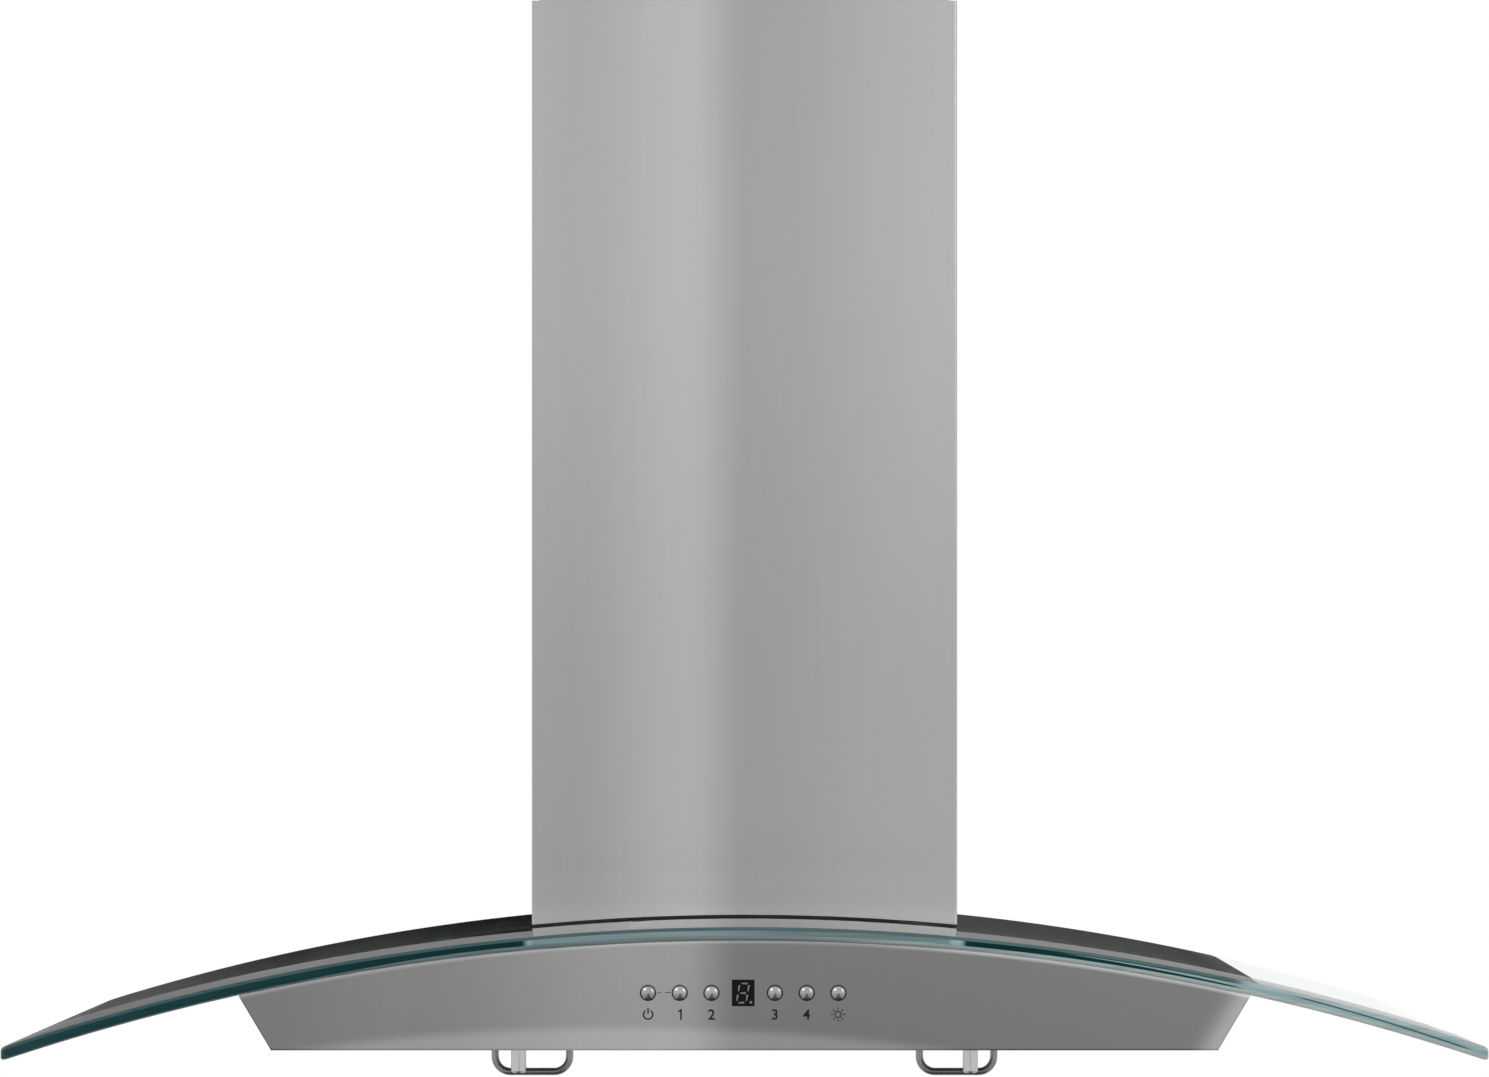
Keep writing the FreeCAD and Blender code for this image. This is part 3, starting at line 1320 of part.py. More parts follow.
def damper_flap(front):
    """Half a disc on square barrels round the rod: two outer ones in front, a middle one behind."""
    radius = DUCT_R - DUCT_SHEET - DAMPER_RIM_GAP
    t = DAMPER_SHEET / 2
    disc = flat_sided(radius, INNER_FLATS, point(0, DUCT_Y, ROD_Z - t), Z_AXIS, DAMPER_SHEET)
    side = -1 if front else 1
    low, high = sorted((DUCT_Y + side * DAMPER_GAP, DUCT_Y + side * (radius + 1)))
    parts = [disc.common(box(-radius, radius, low, high, ROD_Z - t, ROD_Z + t))]
    half = DAMPER_ROD_R + FIT + DAMPER_BARREL_WALL
    middle = DAMPER_BARREL / 2
    spans = ((-3 * middle, -middle), (middle, 3 * middle)) if front else ((-middle, middle),)
    for start, end in spans:
        x0 = start + SLIP
        x1 = end - SLIP
        parts.append(box(x0, x1, DUCT_Y - half, DUCT_Y + half, ROD_Z - half, ROD_Z + half))
        low, high = sorted((DUCT_Y, DUCT_Y + side * (DAMPER_GAP + 1)))
        parts.append(box(x0, x1, low, high, ROD_Z - t, ROD_Z + t))
    return fuse(parts).cut(rod_x(DAMPER_ROD_R + FIT, -radius, radius, DUCT_Y, ROD_Z))


# ---- wiring ----
def junction_y():
    back = BOX_Y - SEAT
    return back - JUNCTION_DEPTH, back


def junction_box():
    y0, y1 = junction_y()
    half = JUNCTION_WIDTH / 2
    x0 = JUNCTION_X - half
    x1 = JUNCTION_X + half
    top = JUNCTION_Z + JUNCTION_HEIGHT
    wall = JUNCTION_WALL
    shell = box(x0, x1, y0, y1, JUNCTION_Z, top)
    hollow = box(x0 + wall, x1 - wall, y0 - 1, y1 - wall, JUNCTION_Z + wall, top - wall)
    start = point(GLAND_X, (y0 + y1) / 2, top - wall - 1)
    hole = flat_sided(GLAND_NECK_R + SEAT, SCREW_SIDES, start, Z_AXIS, wall + 2)
    return shell.cut([hollow, hole])


def junction_cover():
    y0 = junction_y()[0] - SEAT
    half = JUNCTION_WIDTH / 2
    top = JUNCTION_Z + JUNCTION_HEIGHT
    wall = JUNCTION_WALL
    lid = box(JUNCTION_X - half, JUNCTION_X + half, y0 - wall, y0, JUNCTION_Z, top)
    spigot_half = half - wall - SEAT
    spigot = box(
        JUNCTION_X - spigot_half,
        JUNCTION_X + spigot_half,
        y0,
        y0 + 2 * wall,
        JUNCTION_Z + wall + SEAT,
        top - wall - SEAT,
    )
    core = spigot_half - wall
    hollow = box(
        JUNCTION_X - core,
        JUNCTION_X + core,
        y0,
        y0 + 3 * wall,
        JUNCTION_Z + 2 * wall + SEAT,
        top - 2 * wall - SEAT,
    )
    return fuse([lid, spigot.cut(hollow)])


def cable_gland():
    """The cable inlet: a bored hexagon with a neck down into the junction box."""
    y0, y1 = junction_y()
    y = (y0 + y1) / 2
    base = JUNCTION_Z + JUNCTION_HEIGHT + SEAT
    hexagon = flat_sided(GLAND_R, 6, point(GLAND_X, y, base), Z_AXIS, GLAND_HEIGHT)
    low = base - GLAND_TAIL
    neck = flat_sided(GLAND_NECK_R, SCREW_SIDES, point(GLAND_X, y, low), Z_AXIS, GLAND_TAIL)
    bore = rod_z(GLAND_BORE_R, low - 1, base + GLAND_HEIGHT + 1, GLAND_X, y)
    return fuse([hexagon, neck]).cut(bore)


def capacitor():
    back = BOX_Y - SEAT
    half = CAPACITOR_WIDTH / 2
    top = JUNCTION_Z + CAPACITOR_HEIGHT
    return box(CAPACITOR_X - half, CAPACITOR_X + half, back - CAPACITOR_DEPTH, back, JUNCTION_Z, top)


# ---- write every piece ----
def write(name, shape):
    shape.exportStep("parts/" + name + ".step")
    print(name, len(shape.Solids), "solids", round(shape.Volume / 1000, 2), "cm3", shape.isValid())


def write_pair(name, shape):
    """The filter pieces: right-hand as made, left-hand mirrored."""
    write(name + "_right", shape)
    write(name + "_left", mirrored(shape))


def main():
    os.makedirs("parts", exist_ok=True)
    write("canopy_body", canopy_body())
    write("front_panel", front_panel())
    write("glass_canopy", glass_canopy())
    write("glass_seal", glass_seal())
    write("glass_grommets", glass_grommets())
    write("glass_screws", glass_screws())
    names = ("power", "speed_1", "speed_2", "speed_3", "speed_4", "light")
    for name, x in zip(names, button_places()):
        write("button_" + name, push_button(x))
    write("control_housing", control_housing())
    write("control_board", control_board())
    write("push_switches", push_switches())
    write("display_window", display_window())
    write("display_module", display_module())
    write("filter_tray", filter_tray())
    write("lamp_housings", lamp_housings())
    write("lamp_lenses", lamp_lenses())
    write("lamp_boards", lamp_boards())
    write_pair("filter_frame", filter_frame())
    write_pair("filter_baffles", filter_baffles())
    write_pair("filter_handle", filter_handle())
    write_pair("filter_latch", filter_latch())
    write_pair("latch_spring", latch_spring())
    write("lower_chimney", lower_chimney())
    write("chimney_seal", chimney_seal())
    write("chimney_screws", chimney_screws())
    write("upper_chimney", upper_chimney())
    write("ceiling_bracket", ceiling_bracket())
    write("bracket_screws", bracket_screws())
    write("wall_plate", wall_plate())
    write("blower_box", blower_box())
    write("box_screws", box_screws())
    write("blower_scroll", blower_scroll())
    write("inlet_ring", inlet_ring())
    write("impeller", impeller())
    write("motor_shaft", motor_shaft())
    write("motor", motor())
    write("outlet_transition", outlet_transition())
    write("duct_collar", duct_collar())
    write("damper_rod", damper_rod())
    write("damper_flap_front", damper_flap(True))
    write("damper_flap_rear", damper_flap(False))
    write("junction_box", junction_box())
    write("junction_cover", junction_cover())
    write("cable_gland", cable_gland())
    write("capacitor", capacitor())


main()
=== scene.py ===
# %% [markdown]
# # Dressing a curved glass range hood
# The part itself comes from CAD: a chimney cover, a steel canopy, baffle filters, a blower and an arched
# glass sheet. Here each of them gets the finish of the real thing, and the few shapes that the eye
# stays on are modelled again, finer than the CAD mesh. Everything is in metres, in the CAD frame:
# +X to the viewer's right, +Y into the wall, +Z up, with the origin between the four wall bolts.
# Numbers in millimetres are turned into metres with mm.

# %% Load the fixed frame
import bpy, bmesh, json, math
from mathutils import Matrix, Vector

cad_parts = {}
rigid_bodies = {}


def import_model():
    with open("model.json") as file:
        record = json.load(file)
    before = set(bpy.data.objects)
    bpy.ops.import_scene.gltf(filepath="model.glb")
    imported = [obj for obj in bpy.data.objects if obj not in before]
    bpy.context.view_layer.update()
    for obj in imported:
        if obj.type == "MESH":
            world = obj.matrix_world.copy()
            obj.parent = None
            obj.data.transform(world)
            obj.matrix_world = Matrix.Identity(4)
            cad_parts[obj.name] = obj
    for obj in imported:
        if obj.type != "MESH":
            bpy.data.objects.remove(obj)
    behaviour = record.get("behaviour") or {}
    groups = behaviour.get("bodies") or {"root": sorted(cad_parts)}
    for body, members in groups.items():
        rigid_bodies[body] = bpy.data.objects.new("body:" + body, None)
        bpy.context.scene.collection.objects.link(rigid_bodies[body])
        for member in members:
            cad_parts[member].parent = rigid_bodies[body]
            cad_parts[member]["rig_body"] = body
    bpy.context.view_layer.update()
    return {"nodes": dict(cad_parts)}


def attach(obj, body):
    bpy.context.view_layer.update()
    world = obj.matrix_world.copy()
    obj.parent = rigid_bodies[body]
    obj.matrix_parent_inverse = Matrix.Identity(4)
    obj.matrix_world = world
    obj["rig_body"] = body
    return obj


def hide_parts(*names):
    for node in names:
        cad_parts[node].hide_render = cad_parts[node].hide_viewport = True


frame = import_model()
nodes = frame["nodes"]
mm = 0.001
R_UNDER = 1442.0  # radius of the glass's underside, in mm
THICK = 8.0  # of the glass
ARCH_Z = -1549.0  # height of the axis that the glass is bent round
print("nodes loaded:", len(nodes))

# %% [markdown]
# ## Camera
# The photograph was taken square on from far away, with a long lens: the cover's sides stay parallel
# and the glass shows only a sliver of its top. A long lens could be faked by an orthographic camera,
# but then that sliver would be gone. The lens is held level at the height of the horizon that the
# glass gives, and the frame is shifted up a little, as with a view camera, so uprights stay upright.

# %% Camera
DISTANCE = 5.3
HORIZON = 0.058
lens = bpy.data.cameras.new("camera")
lens.sensor_fit = "HORIZONTAL"
lens.sensor_width = 36.0
lens.lens = 188.56
lens.shift_y = 0.0897
lens.clip_end = 60.0
camera = bpy.data.objects.new("camera", lens)
camera.location = (0, -DISTANCE, HORIZON)
camera.rotation_euler = (math.radians(90), 0, 0)
bpy.context.scene.collection.objects.link(camera)
bpy.context.scene.camera = camera
print("distance to the glass edge:", round(DISTANCE - 0.5, 2), "m")

# %% [markdown]
# ## Helpers for nodes
# A material is a small wiring diagram. The first helper adds a node, sets its values and draws its
# wires. The others name the few kinds of node that come up again and again, so that a line of wiring
# says what it works out and not how a socket is called.

# %% Wiring helpers
def add(tree, kind, inputs=None, **settings):
    node = tree.nodes.new(kind)
    for key, value in settings.items():
        setattr(node, key, value)
    for key, value in (inputs or {}).items():
        if isinstance(value, bpy.types.NodeSocket):
            tree.links.new(value, node.inputs[key])
        else:
            node.inputs[key].default_value = value
    return node


def group_tree(name, inputs, outputs):
    tree = bpy.data.node_groups.new(name, "ShaderNodeTree")
    for label, kind, value in inputs:
        socket = tree.interface.new_socket(label, in_out="INPUT", socket_type=kind)
        socket.default_value = value
    for label, kind in outputs:
        tree.interface.new_socket(label, in_out="OUTPUT", socket_type=kind)
    return tree, tree.nodes.new("NodeGroupInput"), tree.nodes.new("NodeGroupOutput")


def ramp(tree, fac, *stops):
    node = add(tree, "ShaderNodeValToRGB", {0: fac})
    node.color_ramp.interpolation = "EASE"
    elements = node.color_ramp.elements
    for index, (place, value) in enumerate(stops):
        element = elements[index] if index < 2 else elements.new(place)
        element.position = place
        element.color = (*value, 1) if isinstance(value, tuple) else (value, value, value, 1)
    return node.outputs[0]


def math_node(tree, operation, a, b=0.0, c=0.0):
    return add(tree, "ShaderNodeMath", {0: a, 1: b, 2: c}, operation=operation).outputs[0]


def vector_node(tree, operation, a, b):
    return add(tree, "ShaderNodeVectorMath", {0: a, 1: b}, operation=operation).outputs[0]


def scaled(tree, colour, gain):
    settings = {0: colour, "Scale": gain}
    return add(tree, "ShaderNodeVectorMath", settings, operation="SCALE").outputs[0]


def noise(tree, vector, scale, detail, **more):
    settings = {"Vector": vector, "Scale": scale, "Detail": detail}
    settings.update(more)
    return add(tree, "ShaderNodeTexNoise", settings).outputs["Fac"]


def mixed(tree, factor, a, b):
    """Colour a where the factor is 0, colour b where it is 1."""
    return add(tree, "ShaderNodeMix", {"Factor": factor, 6: a, 7: b}, data_type="RGBA").outputs[2]


def span(tree, value, start, end):
    """0 at start, 1 at end, with a soft S between them."""
    settings = {"Value": value, "From Min": start, "From Max": end}
    return add(tree, "ShaderNodeMapRange", settings, interpolation_type="SMOOTHSTEP").outputs[0]


def dented(tree, shader, strength, height):
    settings = {"Strength": strength, "Distance": 0.02 * mm, "Height": height}
    tree.links.new(add(tree, "ShaderNodeBump", settings).outputs["Normal"], shader.inputs["Normal"])


def object_place(tree):
    return add(tree, "ShaderNodeTexCoord").outputs["Object"]


def object_axes(tree):
    """The place on the object, whole and as its X, Y and Z, in metres."""
    place = object_place(tree)
    return (place, *add(tree, "ShaderNodeSeparateXYZ", {0: place}).outputs)


def arch_height(tree, place, radius):
    """Height above an arch of this radius, in mm, round the glass's axis. It comes out in metres."""
    low = vector_node(tree, "ADD", place, (0, 0, -ARCH_Z * mm))
    flat = vector_node(tree, "MULTIPLY", low, (1, 0, 1))
    length = add(tree, "ShaderNodeVectorMath", {0: flat}, operation="LENGTH").outputs["Value"]
    return math_node(tree, "SUBTRACT", length, radius * mm)


# %% [markdown]
# ## Brushed grain, as a node group
# Brushed sheet is scratched by a belt in one direction. Close up it is thousands of hair lines, each a
# few centimetres long and a few hundredths of a millimetre wide. Very stretched noise gives them, and
# one group serves every sheet: a material only says which way the belt ran and how deep it cut.
# The group also puts out a slow drift of tone, since no sheet reflects evenly over its whole face.

# %% Group: brushed grain
grain, g_in, g_out = group_tree(
    "brushed_grain",
    [
        ("Line scale", "NodeSocketVector", (1800.0, 1800.0, 22.0)),
        ("Tone", "NodeSocketColor", (0.4, 0.4, 0.4, 1)),
        ("Line contrast", "NodeSocketFloat", 0.06),
        ("Drift contrast", "NodeSocketFloat", 0.05),
        ("Roughness", "NodeSocketFloat", 0.3),
    ],
    [("Color", "NodeSocketColor"), ("Roughness", "NodeSocketFloat"), ("Height", "NodeSocketFloat")],
)
place = object_place(grain)
stretched = vector_node(grain, "MULTIPLY", place, g_in.outputs["Line scale"])
lines = noise(grain, stretched, 1.0, 4.0, Roughness=0.62)
coarse = vector_node(grain, "MULTIPLY", stretched, (0.13, 0.13, 0.25))
both = math_node(grain, "ADD", lines, noise(grain, coarse, 1.0, 2.0))
centred = math_node(grain, "SUBTRACT", both, 1.0)
line_gain = math_node(grain, "MULTIPLY", centred, g_in.outputs["Line contrast"])
drift = math_node(grain, "SUBTRACT", noise(grain, place, 3.1, 1.0), 0.5)
drift_gain = math_node(grain, "MULTIPLY", drift, g_in.outputs["Drift contrast"])
gain = math_node(grain, "ADD", math_node(grain, "ADD", line_gain, drift_gain), 1.0)
rough = math_node(grain, "MULTIPLY_ADD", centred, 0.03, g_in.outputs["Roughness"])
grain.links.new(scaled(grain, g_in.outputs["Tone"], gain), g_out.inputs["Color"])
grain.links.new(rough, g_out.inputs["Roughness"])
grain.links.new(both, g_out.inputs["Height"])
print("group ready:", grain.name)

# %% [markdown]
# ## Fine speckle, as a node group
# Moulded plastic, rubber, paint and cast zinc are never one flat colour either: they have a fine
# orange-peel surface, and dust or handling changes their gloss in soft patches. One more group, with
# the grain size and the depth as inputs, covers all of them.

# %% Group: speckle
speckle, s_in, s_out = group_tree(
    "speckle",
    [
        ("Tone", "NodeSocketColor", (0.5, 0.5, 0.5, 1)),
        ("Grain size", "NodeSocketFloat", 1400.0),
        ("Contrast", "NodeSocketFloat", 0.1),
        ("Roughness", "NodeSocketFloat", 0.5),
    ],
    [("Color", "NodeSocketColor"), ("Roughness", "NodeSocketFloat"), ("Height", "NodeSocketFloat")],
)
place = object_place(speckle)
fine = noise(speckle, place, s_in.outputs["Grain size"], 3.0)
patches = noise(speckle, place, 45.0, 2.0)
mix = math_node(speckle, "SUBTRACT", math_node(speckle, "ADD", fine, patches), 1.0)
gain = math_node(speckle, "MULTIPLY_ADD", mix, s_in.outputs["Contrast"], 1.0)
rough = math_node(speckle, "MULTIPLY_ADD", patches, 0.16, s_in.outputs["Roughness"])
speckle.links.new(scaled(speckle, s_in.outputs["Tone"], gain), s_out.inputs["Color"])
speckle.links.new(rough, s_out.inputs["Roughness"])
speckle.links.new(fine, s_out.inputs["Height"])
print("group ready:", speckle.name)

# %% [markdown]
# ## Finishes
# A finish is a Principled shader fed by one of the two groups. Values that are the same all over the
# surface are typed on the shader's own sockets, because an export reads them only there.

# %% Material helper
def finish(name, group, group_inputs, bump, broad=None, **values):
    """A material of one group. Broad is a second group, whose gain the colour is multiplied by."""
    material = bpy.data.materials.new(name)
    material.use_nodes = True
    tree = material.node_tree
    shader = tree.nodes["Principled BSDF"]
    detail = add(tree, "ShaderNodeGroup", None, node_tree=group)
    for key, value in group_inputs.items():
        detail.inputs[key].default_value = value
    colour = detail.outputs["Color"]
    if broad:
        gain = add(tree, "ShaderNodeGroup", None, node_tree=broad).outputs["Gain"]
        colour = scaled(tree, colour, gain)
    tree.links.new(colour, shader.inputs["Base Color"])
    tree.links.new(detail.outputs["Roughness"], shader.inputs["Roughness"])
    dented(tree, shader, bump, detail.outputs["Height"])
    for key, value in values.items():
        shader.inputs[key.replace("_", " ")].default_value = value
    return material


def grey(value, blue=1.0):
    return (value, value, value * blue, 1)


# %% [markdown]
# ## Painted reflection and shade on the cover and the panel
# The soft bands that the studio's reflections lay on rolled sheet are painted into its colour here. The
# cover is palest left of the middle, drops softly to its darkest just past the middle and pales again
# to the right: a painted reflection. Towards its foot it darkens a little, more so at its sides, as
# painted shade, and the foot itself is pale, a painted reflection of the glass. Each of these is a
# smooth step of the place on the sheet, so it stays put when the hood is seen from another side. The
# steps are multiplied, and the group gives one gain for the finish's colour.

# %% Group: painted reflection and shade of the cover
COVER_WIDTH = 0.273
COVER_SPAN = 0.6  # the height that the tones of the rise are spread over
cover_painted_light, _, c_out = group_tree("cover_painted_lights", [], [("Gain", "NodeSocketFloat")])
_, x, _, z = object_axes(cover_painted_light)
across = math_node(cover_painted_light, "MULTIPLY_ADD", x, 1 / COVER_WIDTH, 0.5)
upward = math_node(cover_painted_light, "MULTIPLY_ADD", z, 1 / COVER_SPAN, 0.173)
# painted reflection: pale left of the middle, darkest just past it, pale again to the right
bands = ramp(cover_painted_light, across, (0.0, 0.88), (0.10, 0.85), (0.37, 1.0), (0.51, 0.76), (1.0, 0.95))
# painted: the pale foot is a reflection of the glass, the slight darkening above it is shade
rise = ramp(
    cover_painted_light, upward,
    (0.0, 1.2), (0.035, 1.0), (0.07, 0.96), (0.25, 0.93), (0.75, 1.0), (1.0, 0.98),
)


# the mask of the painted shade low on the cover's sides
def low_corner(side_start, side_end, height_end):
    """1 low down at one side of the cover, 0 at the middle and from 0.33 m upwards."""
    side = span(cover_painted_light, x, side_start, side_end)
    return math_node(cover_painted_light, "MULTIPLY", side, span(cover_painted_light, z, 0.33, height_end))


# painted shade: low down at its sides the cover is darker
dip = math_node(cover_painted_light, "MULTIPLY_ADD", low_corner(-0.04, -0.135, -0.08), -0.11, 1.0)
dip = math_node(cover_painted_light, "MULTIPLY_ADD", low_corner(0.05, 0.13, 0.0), -0.06, dip)
tone = math_node(cover_painted_light, "MULTIPLY", math_node(cover_painted_light, "MULTIPLY", bands, rise), dip)
cover_painted_light.links.new(tone, c_out.inputs["Gain"])

# %% [markdown]
# ## Painted reflection and shade on the panel
# The panel gets the same painted drop as the cover, a painted highlight glowing low on its face, a bright
# painted line where it comes out from under the glass, a painted pale right end, and painted shade along
# its slanted cut ends and its lower fold. These are added to each other. The glow's top edge is a
# shallow curve, and the slanted ends are found from the height and their lean.

# %% Group: painted reflection and shade of the panel
PANEL_WIDTH = 0.624
PANEL_LEAN = 0.596  # how far an end goes out for each unit of height
panel_painted_light, _, p_out = group_tree("panel_painted_lights", [], [("Gain", "NodeSocketFloat")])
place, x, _, z = object_axes(panel_painted_light)
across = math_node(panel_painted_light, "MULTIPLY_ADD", x, 1 / PANEL_WIDTH, 0.5)
# painted reflection: the same drop as on the cover
bands = ramp(
    panel_painted_light, across,
    (0.02, 0.59), (0.16, 0.69), (0.42, 1.0), (0.435, 1.0), (0.50, 0.595), (1.0, 0.64),
)
aside = math_node(panel_painted_light, "MULTIPLY_ADD", x, 1 / 0.175, 0.43)
lift = math_node(panel_painted_light, "MULTIPLY", math_node(panel_painted_light, "MULTIPLY", aside, aside), 0.0105)
low = math_node(panel_painted_light, "ADD", z, lift)
# painted highlight: a pale glow low on the face
glow = math_node(panel_painted_light, "MULTIPLY", span(panel_painted_light, low, -0.157, -0.166), 0.32)
# painted highlight: a bright line just under the glass
under_glass = span(panel_painted_light, arch_height(panel_painted_light, place, R_UNDER - 0.4), -0.0028, 0.0)
strength = math_node(panel_painted_light, "MULTIPLY_ADD", span(panel_painted_light, x, 0.06, 0.15), 0.55, 0.42)
line = math_node(panel_painted_light, "MULTIPLY", under_glass, strength)
slant = math_node(panel_painted_light, "MULTIPLY_ADD", z, -PANEL_LEAN, x)
# painted highlight: the pale right end
end = math_node(panel_painted_light, "POWER", span(panel_painted_light, slant, 0.366, 0.394), 3.0)
end = math_node(panel_painted_light, "MULTIPLY", end, 0.6)
slants = math_node(panel_painted_light, "MULTIPLY_ADD", z, -PANEL_LEAN, math_node(panel_painted_light, "ABSOLUTE", x))
# painted shade along the slanted ends
cut = math_node(panel_painted_light, "MULTIPLY", span(panel_painted_light, slants, 0.3948, 0.3958), -0.38)
# painted shade along the lower fold
fold = math_node(panel_painted_light, "MULTIPLY", span(panel_painted_light, z, -0.1736, -0.1744), -0.35)
tone = bands
for part in (glow, line, end, fold, cut):
    tone = math_node(panel_painted_light, "ADD", tone, part)
panel_painted_light.links.new(tone, p_out.inputs["Gain"])
print("tone groups:", cover_painted_light.name, panel_painted_light.name)

# %% [markdown]
# ## Brushed stainless steel
# The belt ran up and down on the cover and on the canopy, and along the folded rails of the filters.

# %% Steel sheets
UPRIGHT = (1800.0, 1800.0, 22.0)
LENGTHWISE = (1800.0, 22.0, 1800.0)


def steel(name, tone, direction, roughness=0.30, broad=None):
    settings = {
        "Line scale": direction, "Tone": tone,
        "Line contrast": 0.05, "Drift contrast": 0.03, "Roughness": roughness,
    }
    return finish(name, grain, settings, 0.02, broad=broad, Metallic=1.0, Anisotropic=0.55)


# the cover and the panel carry the painted reflection and shade of their groups
cover_steel = steel("brushed_steel_cover", grey(0.47), UPRIGHT, broad=cover_painted_light)
panel_steel = steel("brushed_steel_panel", grey(0.355), UPRIGHT, broad=panel_painted_light)
canopy_steel = steel("brushed_steel_canopy", grey(0.30), UPRIGHT)
filter_steel = steel("brushed_steel_filters", grey(0.42), LENGTHWISE, roughness=0.26)
tray_steel = steel("brushed_steel_tray", grey(0.38), LENGTHWISE, roughness=0.34)
print("steel finishes: 5")

# %% [markdown]
# ## The other metals
# Latches and shafts are polished and show the room. The domes of the buttons and the wire of the pulls
# are a shade duller. Galvanised sheet, hidden in the cover, is duller still, with patches of spangle.
# The fan and its housing are powder coated, the screws zinc plated. The numbers of a speckled finish
# are its tone, the fineness of its grain, its contrast, its roughness and the depth of its dents.

# %% Polished, galvanised, painted
def speckled(name, tone, grain_size, contrast, roughness, bump, **values):
    settings = {"Tone": tone, "Grain size": grain_size, "Contrast": contrast, "Roughness": roughness}
    return finish(name, speckle, settings, bump, **values)


polished = speckled("polished_steel", grey(0.50), 2600.0, 0.10, 0.07, 0.06, Metallic=1.0)
button_steel = speckled("button_steel", grey(0.36), 1300.0, 0.5, 0.13, 0.25, Metallic=1.0)
wire_steel = speckled("wire_steel", grey(0.27), 2600.0, 0.15, 0.16, 0.06, Metallic=1.0)
zinc = speckled("zinc_plating", grey(0.48), 1800.0, 0.14, 0.24, 0.1, Metallic=1.0)
galvanised = speckled("galvanised_sheet", (0.40, 0.42, 0.43, 1), 260.0, 0.3, 0.38, 0.12, Metallic=1.0)
fan_coat = speckled("fan_powder_coat", grey(0.045, 1.1), 2200.0, 0.2, 0.42, 0.3)
motor_paint = speckled("motor_paint", grey(0.022, 1.08), 1500.0, 0.2, 0.34, 0.2)

# %% [markdown]
# ## Plastics, rubber and the lamp lens
# Moulded parts have a fine spark-eroded texture and no metallic sheen. The rubber seals are duller.
# The lamp's lens is frosted, so it is milky rather than clear, and only a little glossy.

# %% Plastics and rubber
black_plastic = speckled("black_moulding", grey(0.018), 2400.0, 0.25, 0.40, 0.35)
rubber = speckled("seal_rubber", grey(0.012), 1700.0, 0.3, 0.62, 0.4)
white_plastic = speckled("white_moulding", grey(0.60, 0.97), 2000.0, 0.05, 0.36, 0.2)
board = speckled("board_lacquer", (0.012, 0.085, 0.04, 1), 700.0, 0.35, 0.28, 0.15)
lens_frost = speckled("frosted_lens", (0.80, 0.80, 0.76, 1), 3000.0, 0.05, 0.30, 0.35)
smoked = speckled("smoked_window", grey(0.005, 1.1), 300.0, 0.2, 0.06, 0.02, Specular_IOR_Level=0.08)
# the ink prints the signs and also serves as painted shade behind the buttons
ink_and_gap_shade = speckled("label_ink_and_gap_shade", grey(0.010), 2500.0, 0.3, 0.50, 0.1, Specular_IOR_Level=0.2)
unlit = speckled("unlit_segment", grey(0.20), 2500.0, 0.2, 0.40, 0.1)
print("finishes so far:", len(bpy.data.materials))

# %% [markdown]
# ## Glass
# Float glass looks clear through its 8 mm, but it is sea green when you look into its edge, because
# the light there has come through decimetres of it. The sheet gets a body that swallows red: a volume
# absorption, with a plain colour and density, so it darkens where the path through it is long. Its
# rim faces have a finish of their own, below, with the sea green and the edge's light and shade painted
# in.

# %% Glass
GLASS_IOR = 1.52
glass = bpy.data.materials.new("float_glass")
glass.use_nodes = True
tree = glass.node_tree
shader = tree.nodes["Principled BSDF"]
shader.inputs["Base Color"].default_value = (1, 1, 1, 1)
shader.inputs["Transmission Weight"].default_value = 1.0
shader.inputs["IOR"].default_value = GLASS_IOR
shader.inputs["Metallic"].default_value = 0.0
smear = noise(tree, object_place(tree), 9.0, 3.0)
tree.links.new(math_node(tree, "MULTIPLY", smear, 0.02), shader.inputs["Roughness"])
body = add(tree, "ShaderNodeVolumeAbsorption", {"Color": (0.10, 0.76, 0.74, 1), "Density": 7.0})
tree.links.new(body.outputs[0], tree.nodes["Material Output"].inputs["Volume"])

# %% [markdown]
# ## The ground edge of the glass
# The edge is ground round and polished. Its sea green is the glass's own, but the light and shade that
# it gathers are painted into its colour: a pale band at the top, a deep sea-green core, and a paler band
# below. The core is painted darkest where the sheet has nothing bright behind it and paler in front of
# the steel cover, with a pale painted line at each change. So each band gets a ramp of colour along the
# edge, from -0.5 m to 0.5 m.

# %% Colours and painted light and shade along the edge
edge_tint_and_painted_light, _, e_out = group_tree(
    "edge_tint_and_painted_light", [], [("Color", "NodeSocketColor"), ("Height", "NodeSocketFloat")]
)
place, x, _, _ = object_axes(edge_tint_and_painted_light)
along = math_node(edge_tint_and_painted_light, "ADD", x, 0.5)
# each ramp holds the glass's sea green with painted light and shade along the edge
upper = ramp(
    edge_tint_and_painted_light, along,
    (0.05, (0.050, 0.092, 0.102)), (0.36, (0.062, 0.115, 0.125)), (0.37, (0.070, 0.122, 0.132)),
    (0.64, (0.092, 0.150, 0.155)), (0.80, (0.085, 0.148, 0.150)), (0.812, (0.37, 0.47, 0.49)),
)
core = ramp(
    edge_tint_and_painted_light, along,
    (0.02, (0.016, 0.058, 0.062)), (0.15, (0.010, 0.046, 0.050)), (0.3668, (0.004, 0.032, 0.031)),
    (0.3672, (0.26, 0.40, 0.42)), (0.3695, (0.26, 0.40, 0.42)), (0.371, (0.195, 0.275, 0.285)),
    (0.47, (0.215, 0.295, 0.300)), (0.53, (0.145, 0.210, 0.213)), (0.625, (0.165, 0.240, 0.245)),
    (0.6295, (0.29, 0.43, 0.45)), (0.6328, (0.29, 0.43, 0.45)), (0.6332, (0.003, 0.030, 0.032)),
    (0.798, (0.006, 0.044, 0.044)), (0.812, (0.36, 0.45, 0.46)),
)
